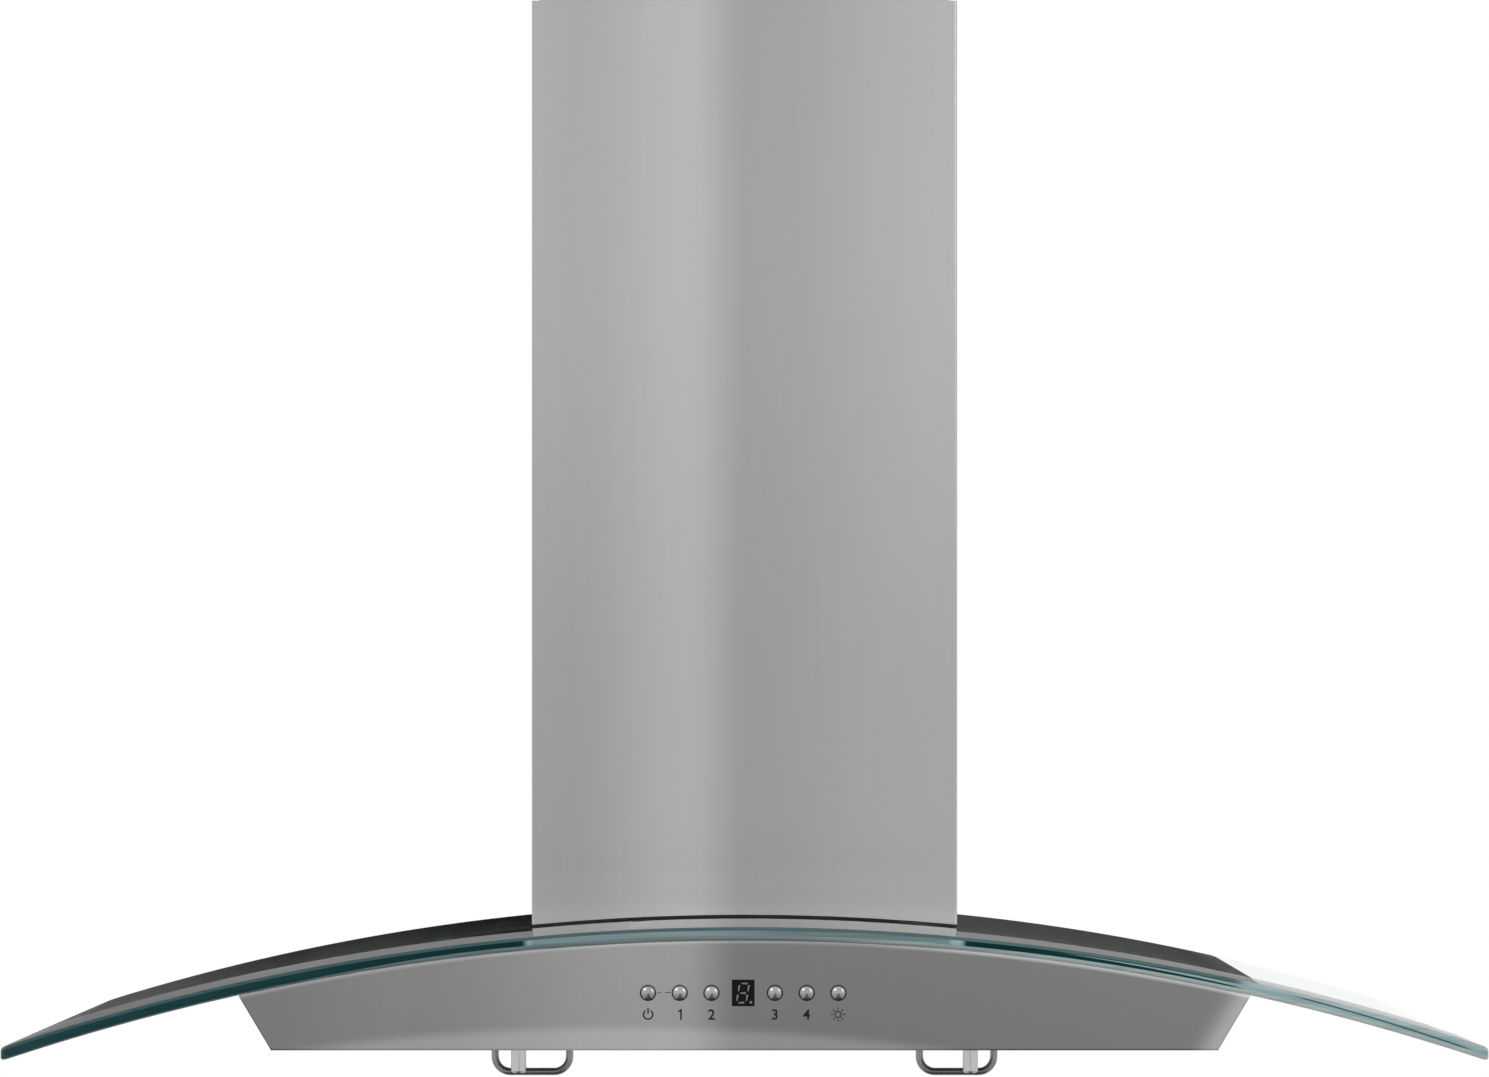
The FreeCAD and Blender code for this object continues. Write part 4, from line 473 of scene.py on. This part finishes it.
lower = ramp(
    edge_tint_and_painted_light, along,
    (0.02, (0.110, 0.125, 0.135)), (0.20, (0.130, 0.160, 0.165)), (0.36, (0.155, 0.205, 0.215)),
    (0.50, (0.190, 0.240, 0.245)), (0.65, (0.330, 0.395, 0.395)), (0.83, (0.43, 0.48, 0.47)),
)

# %% [markdown]
# ## Bands across the edge
# The place across the edge is the height above the arch's underside, 0 there and 1 at the top, so no
# extra coordinates are needed. The upper band always ends at one height. The lower one starts
# lower on the left than on the right. On the right a painted pale gleam widens inside the core, and
# beyond the canopy, where all is pale, one thin painted dark line runs down through the middle to the tip.

# %% Bands across the edge
SOFT = 0.02  # half of the width of a soft border between two bands
UPPER_FROM = 0.74
LOWER_LEFT = 0.13
LOWER_RISE = 0.21
across = math_node(edge_tint_and_painted_light, "MULTIPLY", arch_height(edge_tint_and_painted_light, place, R_UNDER), 1 / (THICK * mm))
bottom = math_node(edge_tint_and_painted_light, "MULTIPLY_ADD", span(edge_tint_and_painted_light, x, -0.28, -0.17), LOWER_RISE, LOWER_LEFT)
above = span(edge_tint_and_painted_light, math_node(edge_tint_and_painted_light, "SUBTRACT", across, UPPER_FROM), -SOFT, SOFT)
below = span(edge_tint_and_painted_light, math_node(edge_tint_and_painted_light, "SUBTRACT", across, bottom), SOFT, -SOFT)

under = math_node(edge_tint_and_painted_light, "MULTIPLY_ADD", x, 1.9, math_node(edge_tint_and_painted_light, "SUBTRACT", across, 1.031))
under = span(edge_tint_and_painted_light, under, -SOFT, SOFT)
# painted highlight: a pale gleam inside the core on the right
painted_gleam = math_node(edge_tint_and_painted_light, "MULTIPLY", span(edge_tint_and_painted_light, across, 0.69, 0.65), under)
painted_gleam = math_node(edge_tint_and_painted_light, "MULTIPLY", painted_gleam, span(edge_tint_and_painted_light, x, 0.18, 0.21))
core = mixed(edge_tint_and_painted_light, painted_gleam, core, (0.27, 0.42, 0.43, 1))

# painted shade: a thin dark line through the middle of the right tip
middle = math_node(edge_tint_and_painted_light, "MULTIPLY_ADD", x, 2.7, math_node(edge_tint_and_painted_light, "SUBTRACT", across, 1.634))
middle = span(edge_tint_and_painted_light, math_node(edge_tint_and_painted_light, "ABSOLUTE", middle), 0.075, 0.035)
ends = (span(edge_tint_and_painted_light, x, 0.33, 0.345), span(edge_tint_and_painted_light, x, 0.452, 0.44))
middle = math_node(edge_tint_and_painted_light, "MULTIPLY", middle, math_node(edge_tint_and_painted_light, "MULTIPLY", *ends))
core = mixed(edge_tint_and_painted_light, middle, core, (0.045, 0.100, 0.105, 1))

bands = mixed(edge_tint_and_painted_light, below, mixed(edge_tint_and_painted_light, above, core, upper), lower)
drawn = vector_node(edge_tint_and_painted_light, "MULTIPLY", place, (9.0, 9.0, 900.0))
streaks = noise(edge_tint_and_painted_light, drawn, 1.0, 3.0)
gain = math_node(edge_tint_and_painted_light, "MULTIPLY_ADD", streaks, 0.7, 0.65)
edge_tint_and_painted_light.links.new(scaled(edge_tint_and_painted_light, bands, gain), e_out.inputs["Color"])
edge_tint_and_painted_light.links.new(streaks, e_out.inputs["Height"])

# %% Finish of the ground edge
glass_edge = bpy.data.materials.new("ground_glass_edge")
glass_edge.use_nodes = True
tree = glass_edge.node_tree
shader = tree.nodes["Principled BSDF"]
layers = add(tree, "ShaderNodeGroup", None, node_tree=edge_tint_and_painted_light)
# the edge's colour is its sea green with painted light and shade
tree.links.new(layers.outputs["Color"], shader.inputs["Base Color"])
dented(tree, shader, 0.1, layers.outputs["Height"])
shader.inputs["Roughness"].default_value = 0.12
shader.inputs["IOR"].default_value = GLASS_IOR
shader.inputs["Specular IOR Level"].default_value = 0.03
print("glass materials: 2")

# %% [markdown]
# ## From a bmesh to a piece
# Every new piece ends the same way: its outside is made to face out, it becomes an object at the
# origin with its place in its mesh, curved faces are shaded smooth and folds are kept crisp, and it
# rides on the CAD body that carries it. A mesh that began as a copy of a CAD node still has that
# node's stored normals. They would win over the smooth shading, so they are taken off first.

# %% Piece helper
def linked(name, data):
    made = bpy.data.objects.new(name, data)
    bpy.context.scene.collection.objects.link(made)
    return made


def mesh_object(name, bm, material):
    """An object of one material from a bmesh, which is used up."""
    mesh = bpy.data.meshes.new(name)
    bm.to_mesh(mesh)
    bm.free()
    mesh.materials.append(material)
    return linked(name, mesh)


def piece(name, bm, material, body, replaces=(), angle=35, recalculate=True):
    if recalculate:
        bmesh.ops.recalc_face_normals(bm, faces=bm.faces)
    made = mesh_object(name, bm, material)
    mesh = made.data
    if "custom_normal" in mesh.attributes:
        mesh.attributes.remove(mesh.attributes["custom_normal"])
    mesh.shade_smooth()
    mesh.set_sharp_from_angle(angle=math.radians(angle))
    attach(made, body)
    if replaces:
        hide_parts(*replaces)
    return made


def verts_of(geom):
    return [v for v in geom if isinstance(v, bmesh.types.BMVert)]


def edges_of(geom):
    return [e for e in geom if isinstance(e, bmesh.types.BMEdge)]


# %% [markdown]
# ## The arched glass
# On the real hood this is a flat sheet, cut to its outline, ground to a round edge and then sagged hot
# over a mould. It is made in the same order here. The outline starts as eight points, its corners are
# rounded, and the blower's cut-out is part of it. Four screw holes are added, the outline is filled
# with faces, and the sheet is thickened.

# %% Glass outline
HALF_FRONT = 459.9
HALF_BACK = 431
FRONT_Y = -500
BACK_Y = -8
CUT_X = 104  # half of the width of the blower's cut-out
CUT_Y = -244
HOLE_R = 4.3
screw_places = [(-117, -70), (117, -70), (-70, -264), (70, -264)]
outline = [
    (-HALF_FRONT, FRONT_Y), (HALF_FRONT, FRONT_Y), (HALF_BACK, BACK_Y), (CUT_X, BACK_Y),
    (CUT_X, CUT_Y), (-CUT_X, CUT_Y), (-CUT_X, BACK_Y), (-HALF_BACK, BACK_Y),
]


def rounded(bm, geom, offset, segments, affect):
    bmesh.ops.bevel(
        bm, geom=geom, offset=offset, segments=segments, profile=0.5, affect=affect, material=-1
    )


bm = bmesh.new()
corners = [bm.verts.new((x, y, 0)) for x, y in outline]
bm.faces.new(corners)
outer = [corners[i] for i in (0, 1, 2, 7)]
rounded(bm, outer, 14.0, 8, "VERTICES")
inner = [v for v in bm.verts if abs(abs(v.co.x) - CUT_X) < 0.1 and abs(v.co.y - CUT_Y) < 0.1]
rounded(bm, inner, 12.0, 6, "VERTICES")
bmesh.ops.delete(bm, geom=bm.faces[:], context="FACES_ONLY")
for x, y in screw_places:
    hole = bmesh.ops.create_circle(bm, radius=HOLE_R, segments=24)
    bmesh.ops.translate(bm, verts=hole["verts"], vec=(x, y, 0))
bmesh.ops.triangle_fill(bm, edges=bm.edges[:], use_beauty=True)
print("outline filled with", len(bm.faces), "faces")

# %% [markdown]
# ## Thickness, pencil edge and bend
# The rim gets its pencil edge as a bevel of several steps while all is still flat, but the rims of the
# screw holes stay sharp. Then the sheet is cut into strips, because only a sheet with points to move
# can bend, and each point is lifted onto its arch. Faces that weren't level before the bend belong to
# the rim or to a hole, so they get the finish of the ground edge.

# %% Glass thickness, pencil edge and bend
STRIPS = 64
sheet = bmesh.ops.extrude_face_region(bm, geom=bm.faces[:])
bmesh.ops.translate(bm, verts=verts_of(sheet["geom"]), vec=(0, 0, THICK))
bmesh.ops.recalc_face_normals(bm, faces=bm.faces)


def at_screw(co):
    return any(math.hypot(co.x - x, co.y - y) < HOLE_R + 0.7 for x, y in screw_places)


rim = []
for edge in bm.edges:
    kinds = sorted(abs(f.normal.z) > 0.9 for f in edge.link_faces)
    if kinds == [False, True] and not at_screw(edge.verts[0].co):
        rim.append(edge)
rounded(bm, rim, 2.4, 4, "EDGES")
for step in range(1, STRIPS):
    x = -HALF_FRONT + 2 * HALF_FRONT * step / STRIPS
    everything = bm.verts[:] + bm.edges[:] + bm.faces[:]
    bmesh.ops.bisect_plane(bm, geom=everything, plane_co=(x, 0, 0), plane_no=(1, 0, 0), dist=0.001)
for face in bm.faces:
    face.material_index = 0 if abs(face.normal.z) > 0.99 else 1
for v in bm.verts:
    v.co.z = math.sqrt((R_UNDER + v.co.z) ** 2 - v.co.x ** 2) + ARCH_Z
bmesh.ops.scale(bm, vec=(mm, mm, mm), verts=bm.verts)
print("glass faces:", len(bm.faces))
glass_sheet = piece("glass_sheet", bm, glass, "hood", ["glass_canopy"], angle=60)
glass_sheet.data.materials.append(glass_edge)
even = glass_sheet.modifiers.new("even_normals", "WEIGHTED_NORMAL")
even.weight = 100
even.keep_sharp = False

# %% [markdown]
# ## Finer copies of the rolled and folded parts
# The CAD mesh is loose triangles, so a rolled part looks cut from flats. A copy with its doubles merged
# can be shaded smooth across shallow angles. On a sheet, a face that looks straight along an axis is a
# flat one and is shaded as such, so that the bend beside it doesn't pull its reflections about. The
# canopy also gets a narrow bevel on its folds, which catches the light as a real fold does. The copy
# stands for the CAD node, in the same place and of the same size.

# %% Refined copies
def refined(name, material, fold=0.0, flats=False):
    source = nodes[name]
    bm = bmesh.new()
    bm.from_mesh(source.data)
    bmesh.ops.remove_doubles(bm, verts=bm.verts, dist=0.002 * mm)
    body = source["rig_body"]
    made = piece(name + "_dressed", bm, material, body, [name], angle=32, recalculate=False)
    if flats:
        for face in made.data.polygons:
            face.use_smooth = max(abs(n) for n in face.normal) < 0.9999
    if fold:
        edge = made.modifiers.new("fold", "BEVEL")
        edge.width = fold * mm
        edge.segments = 2
        edge.limit_method = "ANGLE"
        edge.angle_limit = math.radians(40)
        edge.harden_normals = True


rolled = {
    "lower_chimney": (cover_steel, "stainless"),
    "upper_chimney": (cover_steel, "stainless"),
    "canopy_body": (canopy_steel, "stainless"),
    "front_panel": (panel_steel, "stainless"),
    "glass_seal": (rubber, "black_rubber"),
    "chimney_seal": (rubber, "black_rubber"),
    "duct_collar": (galvanised, "galvanised"),
    "outlet_transition": (galvanised, "galvanised"),
    "blower_scroll": (fan_coat, "fan_paint"),
    "impeller": (fan_coat, "fan_paint"),
    "inlet_ring": (galvanised, "galvanised"),
    "motor": (motor_paint, "dark_paint"),
    "motor_shaft": (polished, "polished"),
    "damper_rod": (polished, "polished"),
    "cable_gland": (black_plastic, "black_plastic"),
    "filter_latch_left": (polished, "polished"),
    "filter_latch_right": (polished, "polished"),
}
sheets = ("lower_chimney", "upper_chimney", "canopy_body", "front_panel")
folds = {"canopy_body": 0.25}
for name, (material, slot) in rolled.items():
    refined(name, material, fold=folds.get(name, 0.0), flats=name in sheets)
print("refined copies:", len(rolled))

# %% [markdown]
# ## Push buttons
# Each button is a small steel dome, turned in one piece with the flange that keeps it behind the panel
# and the stem that works its switch. A turned part is a profile spun round its axis, so half of its
# outline is drawn from the tip back, and one full spin makes the rest. The flange and the stem get the
# black of the printing ink as painted shade, so the gap round each dome looks dark.

# %% Turned buttons
def spun(bm, geom, centre, axis, degrees, steps, merge=False):
    return bmesh.ops.spin(
        bm, geom=geom, cent=centre, axis=axis, dvec=(0, 0, 0),
        angle=math.radians(degrees), steps=steps, use_merge=merge,
    )


def turned(profile, centre):
    """Spin a profile of (radius, y) pairs, in millimetres, round the Y line through centre."""
    bm = bmesh.new()
    x, z = centre
    chain = [bm.verts.new(((x + r) * mm, y * mm, z * mm)) for r, y in profile]
    edges = [bm.edges.new(pair) for pair in zip(chain, chain[1:])]
    spun(bm, chain + edges, (x * mm, 0, z * mm), (0, 1, 0), 360, steps=40, merge=True)
    bmesh.ops.remove_doubles(bm, verts=bm.verts, dist=0.0005 * mm)
    return bm


CONTROL_Z = -139.6
DOME_R = 4.5
DOME_RISE = 2.3
DOME_FOOT = -497.3
FLANGE_R, FLANGE_FRONT, FLANGE_BACK = 5.9, -495.8, -494.6
STEM_R, STEM_END = 1.75, -489.15
turns = [math.radians(t) for t in range(0, 91, 10)]
dome = [(DOME_R * math.sin(t), DOME_FOOT - DOME_RISE * math.cos(t)) for t in turns]
shank = [
    (DOME_R, FLANGE_FRONT), (FLANGE_R, FLANGE_FRONT), (FLANGE_R, FLANGE_BACK),
    (STEM_R, FLANGE_BACK), (STEM_R, STEM_END), (0, STEM_END),
]
button_x = {
    "power": -59.45, "speed_1": -39.9, "speed_2": -20.35,
    "speed_3": 18.75, "speed_4": 38.3, "light": 57.85,
}
for key, x in button_x.items():
    bm = turned(dome + shank, (x, CONTROL_Z))
    for face in bm.faces:
        # faces behind the flange's front get the ink as painted shade in the gap round the dome
        behind = face.calc_center_median().y > (FLANGE_FRONT - 0.05) * mm
        face.material_index = 1 if behind else 0
    made = piece("dome_" + key, bm, button_steel, "key_" + key, ["button_" + key])
    made.data.materials.append(ink_and_gap_shade)
print("buttons:", len(button_x), "dome points:", len(dome))

# %% [markdown]
# ## Labels
# The signs under the buttons are screen printed: a power sign, the four speeds and a lamp. Text becomes
# a mesh before it is placed, scaled by its measured height so that the size doesn't depend on the font.

# %% Printed figures
PRINT_Y = -497.0
PRINT_DEPTH = 0.05
LABEL_Z = -152.9
FIGURE_HEIGHT = 6.5


def printed(bm, name, material=ink_and_gap_shade):
    """Stand a flat print, drawn in millimetres in X and Y, upright on the panel's face."""
    back = bmesh.ops.extrude_face_region(bm, geom=bm.faces[:])
    bmesh.ops.translate(bm, verts=verts_of(back["geom"]), vec=(0, 0, PRINT_DEPTH))
    turn = Matrix.Translation((0, PRINT_Y, 0)) @ Matrix.Rotation(math.radians(90), 4, "X")
    bmesh.ops.transform(bm, matrix=Matrix.Scale(mm, 4) @ turn, verts=bm.verts)
    piece(name, bm, material, "hood", angle=30)


def figure(text, x):
    curve = bpy.data.curves.new("figure", "FONT")
    curve.body = text
    curve.resolution_u = 6
    curve.offset = 0.018
    shape = linked("figure", curve)
    bpy.context.view_layer.update()
    flat = bpy.data.meshes.new_from_object(shape)
    bm = bmesh.new()
    bm.from_mesh(flat)
    bpy.data.objects.remove(shape)
    bpy.data.curves.remove(curve)
    bpy.data.meshes.remove(flat)
    lows = [min(v.co[i] for v in bm.verts) for i in (0, 1)]
    highs = [max(v.co[i] for v in bm.verts) for i in (0, 1)]
    size = FIGURE_HEIGHT / (highs[1] - lows[1])
    middle = Vector(((lows[0] + highs[0]) / 2, (lows[1] + highs[1]) / 2, 0))
    bmesh.ops.translate(bm, verts=bm.verts, vec=-middle)
    bmesh.ops.scale(bm, verts=bm.verts, vec=(size, size, size))
    bmesh.ops.translate(bm, verts=bm.verts, vec=(x, LABEL_Z, 0))
    printed(bm, "label_" + text)


for text, x in (("2", -20.3), ("3", 18.7), ("4", 38.2)):
    figure(text, x)
print("figures printed at height", LABEL_Z)

# %% [markdown]
# ## Power and lamp signs
# Both are simple enough to draw with a ring and a few bars. A ring is two points spun round; leaving
# the last part of the turn out gives the power sign its gap. The figure 1 is two bars. Between the
# power button and the one beside it there is a thin broken line.

# %% Power and lamp signs
POWER_X = -59.4
LAMP_X = 57.6
LINK_Z = -139.4


def ring(bm, centre, inner, outer, start=0.0, turn=360.0):
    a = math.radians(start)
    x, y = centre
    ends = [bm.verts.new((x + r * math.cos(a), y + r * math.sin(a), 0)) for r in (inner, outer)]
    edge = bm.edges.new(ends)
    spun(bm, ends + [edge], (x, y, 0), (0, 0, 1), turn, steps=32, merge=turn > 359)


def leaned(centre, degrees):
    x, y = centre
    return Matrix.Translation((x, y, 0)) @ Matrix.Rotation(math.radians(degrees), 4, "Z")


def bar(bm, centre, length, width, angle=0.0):
    grid = bmesh.ops.create_grid(bm, x_segments=1, y_segments=1, size=0.5)
    size = Matrix.Diagonal((length, width, 1, 1))
    bmesh.ops.transform(bm, matrix=leaned(centre, angle) @ size, verts=grid["verts"])


bm = bmesh.new()
ring(bm, (POWER_X, LABEL_Z), 2.4, 3.3, start=122, turn=296)
bar(bm, (POWER_X, LABEL_Z + 2.2), 3.6, 0.9, 90)
printed(bm, "label_power")
bm = bmesh.new()
bar(bm, (-39.1, LABEL_Z), FIGURE_HEIGHT, 1.0, 90)
bar(bm, (-39.9, LABEL_Z + 2.35), 2.3, 0.85, 42)
printed(bm, "label_1")
bm = bmesh.new()
ring(bm, (LAMP_X, LABEL_Z), 1.6, 2.25)
for angle in range(0, 360, 45):
    a = math.radians(angle)
    bar(bm, (LAMP_X + 3.75 * math.cos(a), LABEL_Z + 3.75 * math.sin(a)), 1.1, 0.75, angle)
printed(bm, "label_lamp")
bm = bmesh.new()
bar(bm, (-52.6, LINK_Z), 2.0, 0.45)
bar(bm, (-47.2, LINK_Z), 3.6, 0.45)
printed(bm, "label_link")
print("signs done")

# %% [markdown]
# ## The display's figure
# Behind the smoked window sits one seven-segment figure, unlit in the photograph, so it only shows as
# pale grey bars. A bar is a hexagon pulled long. Seven of them and a point are leaned over together.

# %% Seven segments
PITCH = 5.9  # from one level bar to the next
BAR_WIDTH = 1.15
DISPLAY_Z = -139.7


def segment(bm, centre, length, width, angle):
    cell = bmesh.ops.create_circle(bm, cap_ends=True, radius=width / 2, segments=6)
    for v in cell["verts"]:
        if abs(v.co.x) > width * 0.45:
            v.co.x += math.copysign(length / 2 - width / 2, v.co.x)
        else:
            v.co.x = math.copysign(length / 2 - width * 0.75, v.co.x)
    bmesh.ops.transform(bm, matrix=leaned(centre, angle), verts=cell["verts"])


bm = bmesh.new()
for height in (-PITCH, 0.0, PITCH):
    segment(bm, (0, height), 5.3, BAR_WIDTH, 0)
for side in (-PITCH / 2, PITCH / 2):
    for height in (-PITCH / 2, PITCH / 2):
        segment(bm, (side, height), 5.5, BAR_WIDTH, 90)
dot = bmesh.ops.create_circle(bm, cap_ends=True, radius=0.8, segments=16)
bmesh.ops.translate(bm, verts=dot["verts"], vec=(5.9, -5.7, 0))
for v in bm.verts:
    v.co.x += 0.17 * v.co.y - 1.0
    v.co.y += DISPLAY_Z
printed(bm, "display_figure", unlit)
print("display done")

# %% [markdown]
# ## Filter pulls
# Each pull is a bent wire, welded by its ends under the filter. A circle is extruded down the first
# leg, spun a quarter turn round each bend, and extruded along the straights: the same moves that the
# wire makes in a bending jig.

# %% Bent wire pulls
WIRE_R = 2.35
PULL_ENDS = (110.15, 157.05)  # how far its two legs are from the hood's middle
PULL_Y = -386.1
PULL_TOP = -173.5
PULL_LOW = -193.65
BEND_R = 9.65


def pull(side):
    left, right = sorted(side * x for x in PULL_ENDS)
    bend_z = PULL_LOW + BEND_R
    bm = bmesh.new()
    section = bmesh.ops.create_circle(bm, radius=WIRE_R, segments=24)["verts"]
    bmesh.ops.translate(bm, verts=section, vec=(left, PULL_Y, PULL_TOP))

    def straight(edges, vec):
        out = bmesh.ops.extrude_edge_only(bm, edges=edges)["geom"]
        bmesh.ops.translate(bm, verts=verts_of(out), vec=vec)
        return edges_of(out)

    def quarter(edges, x):
        verts = list(dict.fromkeys(v for e in edges for v in e.verts))
        out = spun(bm, verts + edges, (x, PULL_Y, bend_z), (0, -1, 0), 90, steps=9)
        return edges_of(out["geom_last"])

    end = list(dict.fromkeys(e for v in section for e in v.link_edges))
    end = straight(end, (0, 0, bend_z - PULL_TOP))
    end = quarter(end, left + BEND_R)
    end = straight(end, (right - left - 2 * BEND_R, 0, 0))
    end = quarter(end, right - BEND_R)
    straight(end, (0, 0, PULL_TOP - bend_z))
    bmesh.ops.remove_doubles(bm, verts=bm.verts, dist=0.001)
    bmesh.ops.holes_fill(bm, edges=[e for e in bm.edges if e.is_boundary], sides=0)
    bmesh.ops.scale(bm, verts=bm.verts, vec=(mm, mm, mm))
    return bm


for word, side in (("left", -1), ("right", 1)):
    handle = "filter_handle_" + word
    made = piece("pull_" + word, pull(side), wire_steel, "filter_" + word, [handle])
    print(made.name, "lowest", round(min(v.co.z for v in made.data.vertices) / mm, 2), "mm")

# %% [markdown]
# ## Finishes for the other CAD nodes
# The rest keeps its CAD mesh. A table says which finish goes on which node.

# %% Assign finishes
coats = {
    "filter_tray": tray_steel, "filter_frame_left": filter_steel, "filter_frame_right": filter_steel,
    "filter_baffles_left": filter_steel, "filter_baffles_right": filter_steel,
    "latch_spring_left": zinc, "latch_spring_right": zinc, "glass_screws": zinc, "chimney_screws": zinc,
    "bracket_screws": zinc, "box_screws": zinc, "ceiling_bracket": galvanised, "wall_plate": galvanised,
    "blower_box": galvanised, "damper_flap_front": galvanised, "damper_flap_rear": galvanised,
    "junction_box": galvanised, "junction_cover": galvanised, "glass_grommets": rubber,
    "control_housing": black_plastic, "push_switches": black_plastic, "display_module": black_plastic,
    "display_window": smoked, "control_board": board, "lamp_boards": board, "lamp_housings": white_plastic,
    "lamp_lenses": lens_frost, "capacitor": white_plastic,
}
for name, material in coats.items():
    mesh = nodes[name].data
    if not mesh.materials:
        mesh.materials.append(material)
    for index in range(len(mesh.materials)):
        mesh.materials[index] = material
print("nodes coated:", len(coats))

# %% [markdown]
# ## Studio
# A plain studio: a pale floor under a white surround. The surround gives a little less light than it
# shows to the camera, to mirrors and through glass, so the background is white and the hood isn't
# washed out.

# %% Floor and world
floor_paint = bpy.data.materials.new("floor_paint")
floor_paint.use_nodes = True
shader = floor_paint.node_tree.nodes["Principled BSDF"]
shader.inputs["Base Color"].default_value = (0.86, 0.86, 0.86, 1)
shader.inputs["Roughness"].default_value = 0.8
bm = bmesh.new()
bmesh.ops.create_grid(bm, x_segments=1, y_segments=1, size=6.0)
bmesh.ops.translate(bm, verts=bm.verts, vec=(0, -1.0, -1.75))
floor = mesh_object("floor", bm, floor_paint)

SHOWN = 1.0
GIVEN = 0.7
world = bpy.data.worlds.new("studio")
bpy.context.scene.world = world
world.use_nodes = True
tree = world.node_tree
plain = tree.nodes["Background"]
plain.inputs["Color"].default_value = (1, 1, 1, 1)
path = add(tree, "ShaderNodeLightPath")
seen = math_node(tree, "MAXIMUM", path.outputs["Is Camera Ray"], path.outputs["Is Glossy Ray"])
seen = math_node(tree, "MAXIMUM", seen, path.outputs["Is Transmission Ray"])
strength = math_node(tree, "MULTIPLY_ADD", seen, SHOWN - GIVEN, GIVEN)
tree.links.new(strength, plain.inputs["Strength"])
print("studio ready:", floor.name, world.name)

# %% [markdown]
# ## Lamps and boards
# Metal and glass only look like themselves when they have something to reflect, so boards stand around
# the hood, as in a product studio. They shine by themselves in a set tone, are out of the camera's
# sight and cast no shadow. Those behind the hood follow the arch of the glass, and its top mirrors
# them: a dark one low down, a paler strip above it, and a pale one past the right end.

# %% Helpers for lamps and boards
R_TOP = R_UNDER + THICK
BOARD_Y = 0.03


def lamp(name, place, aim, size, power):
    light = bpy.data.lights.new(name, "AREA")
    light.shape = "RECTANGLE"
    light.size, light.size_y = size
    light.energy = power
    made = linked(name, light)
    made.location = place
    made.rotation_euler = (Vector(aim) - Vector(place)).to_track_quat("-Z", "Y").to_euler()


def card_material(name, *stops):
    """A tone that shines by itself; with several stops it changes along X, from -0.5 to 0.5 m."""
    material = bpy.data.materials.new(name)
    material.use_nodes = True
    tree = material.node_tree
    tree.nodes.remove(tree.nodes["Principled BSDF"])
    _, x, _, _ = object_axes(tree)
    tone = ramp(tree, math_node(tree, "ADD", x, 0.5), *stops)
    glow = add(tree, "ShaderNodeEmission", {"Color": tone, "Strength": 1.0})
    tree.links.new(glow.outputs[0], tree.nodes["Material Output"].inputs["Surface"])
    return material


def card(name, bm, material, through_glass=False):
    """A board that only reflections see, and, where it is told so, rays that come through glass."""
    made = mesh_object(name, bm, material)
    made.visible_camera = False
    made.visible_diffuse = False
    made.visible_transmission = through_glass
    made.visible_shadow = False


def flat_card(name, corners, *stops):
    bm = bmesh.new()
    bm.faces.new([bm.verts.new(c) for c in corners])
    card(name, bm, card_material(name, *stops))


def arched_card(name, ends_low, ends_high, low, high, *stops, through_glass=False):
    """A board behind the hood that follows the glass. low and high give its height above the arch, in
    millimetres, at an X in metres; ends_low and ends_high are the X of its ends there."""
    steps = 24
    bm = bmesh.new()
    pairs = []
    for step in range(steps + 1):
        pair = []
        for (start, stop), height in ((ends_low, low), (ends_high, high)):
            x = start + (stop - start) * step / steps
            z = math.sqrt(((R_TOP + height(x)) * mm) ** 2 - x * x) + ARCH_Z * mm
            pair.append(bm.verts.new((x, BOARD_Y, z)))
        pairs.append(pair)
    for near, far in zip(pairs, pairs[1:]):
        bm.faces.new((near[0], far[0], far[1], near[1]))
    card(name, bm, card_material(name, *stops), through_glass)


# %% Boards behind the glass
def step_height(x):
    """Where the dark boards end and the strips begin."""
    return 13.8 - (28 if x > 0 else 38) * x * x


LEFT = (-0.60, -0.10)
FOOT = (0.10, 0.2985)
STEP_END = 0.351
STRIP_END = 0.3645
arched_card("board_left_dark", LEFT, LEFT, lambda x: -25.0, step_height,
            (0.05, 0.10), (0.20, 0.035), (0.36, 0.010), through_glass=True)
arched_card("board_left_strip", LEFT, LEFT, step_height, lambda x: 60.0,
            (0.05, 0.19), (0.20, 0.25), (0.36, 0.25))
arched_card("board_right_dark", FOOT, (0.10, STEP_END), lambda x: -6.0, step_height,
            (0.60, 0.060), (0.82, 0.066), through_glass=True)
arched_card("board_right_strip", (0.10, STEP_END), (0.10, STRIP_END), step_height, lambda x: 22.0,
            (0.60, 0.29), (0.82, 0.31))
arched_card("board_right_pale", (STEP_END, 0.62), (STRIP_END, 0.62), step_height, lambda x: 22.0,
            (0.80, 0.62), (1.0, 0.62))
print("boards behind the glass: 5")

# %% [markdown]
# ## What is in front
# Two dark cards, one upright and one on the floor, give the domes, the latch knobs and the pulls their
# dark lower halves. Two soft lamps light the hood from both sides, the left one the stronger.

# %% Cards and lamps in front
CARD_Y = -2.6
CARD_LOW = -1.74
upright = [(-0.25, CARD_LOW), (0.45, CARD_LOW), (0.45, -0.35), (-0.25, -0.35)]
level = [(-0.9, CARD_Y), (1.1, CARD_Y), (1.1, -0.2), (-0.9, -0.2)]
flat_card("card_front", [(x, CARD_Y, z) for x, z in upright], (0.0, 0.10), (1.0, 0.10))
flat_card("card_floor", [(x, y, CARD_LOW) for x, y in level], (0.0, 0.12), (1.0, 0.12))
lamp("lamp_left", (-2.2, -3.0, 2.2), (0, -0.2, 0), (1.6, 1.6), 26)
lamp("lamp_right", (2.4, -2.4, 1.4), (0, -0.2, 0), (1.4, 1.8), 14)
bpy.context.scene.view_settings.view_transform = "Standard"
print("lamps:", len(bpy.data.lights))
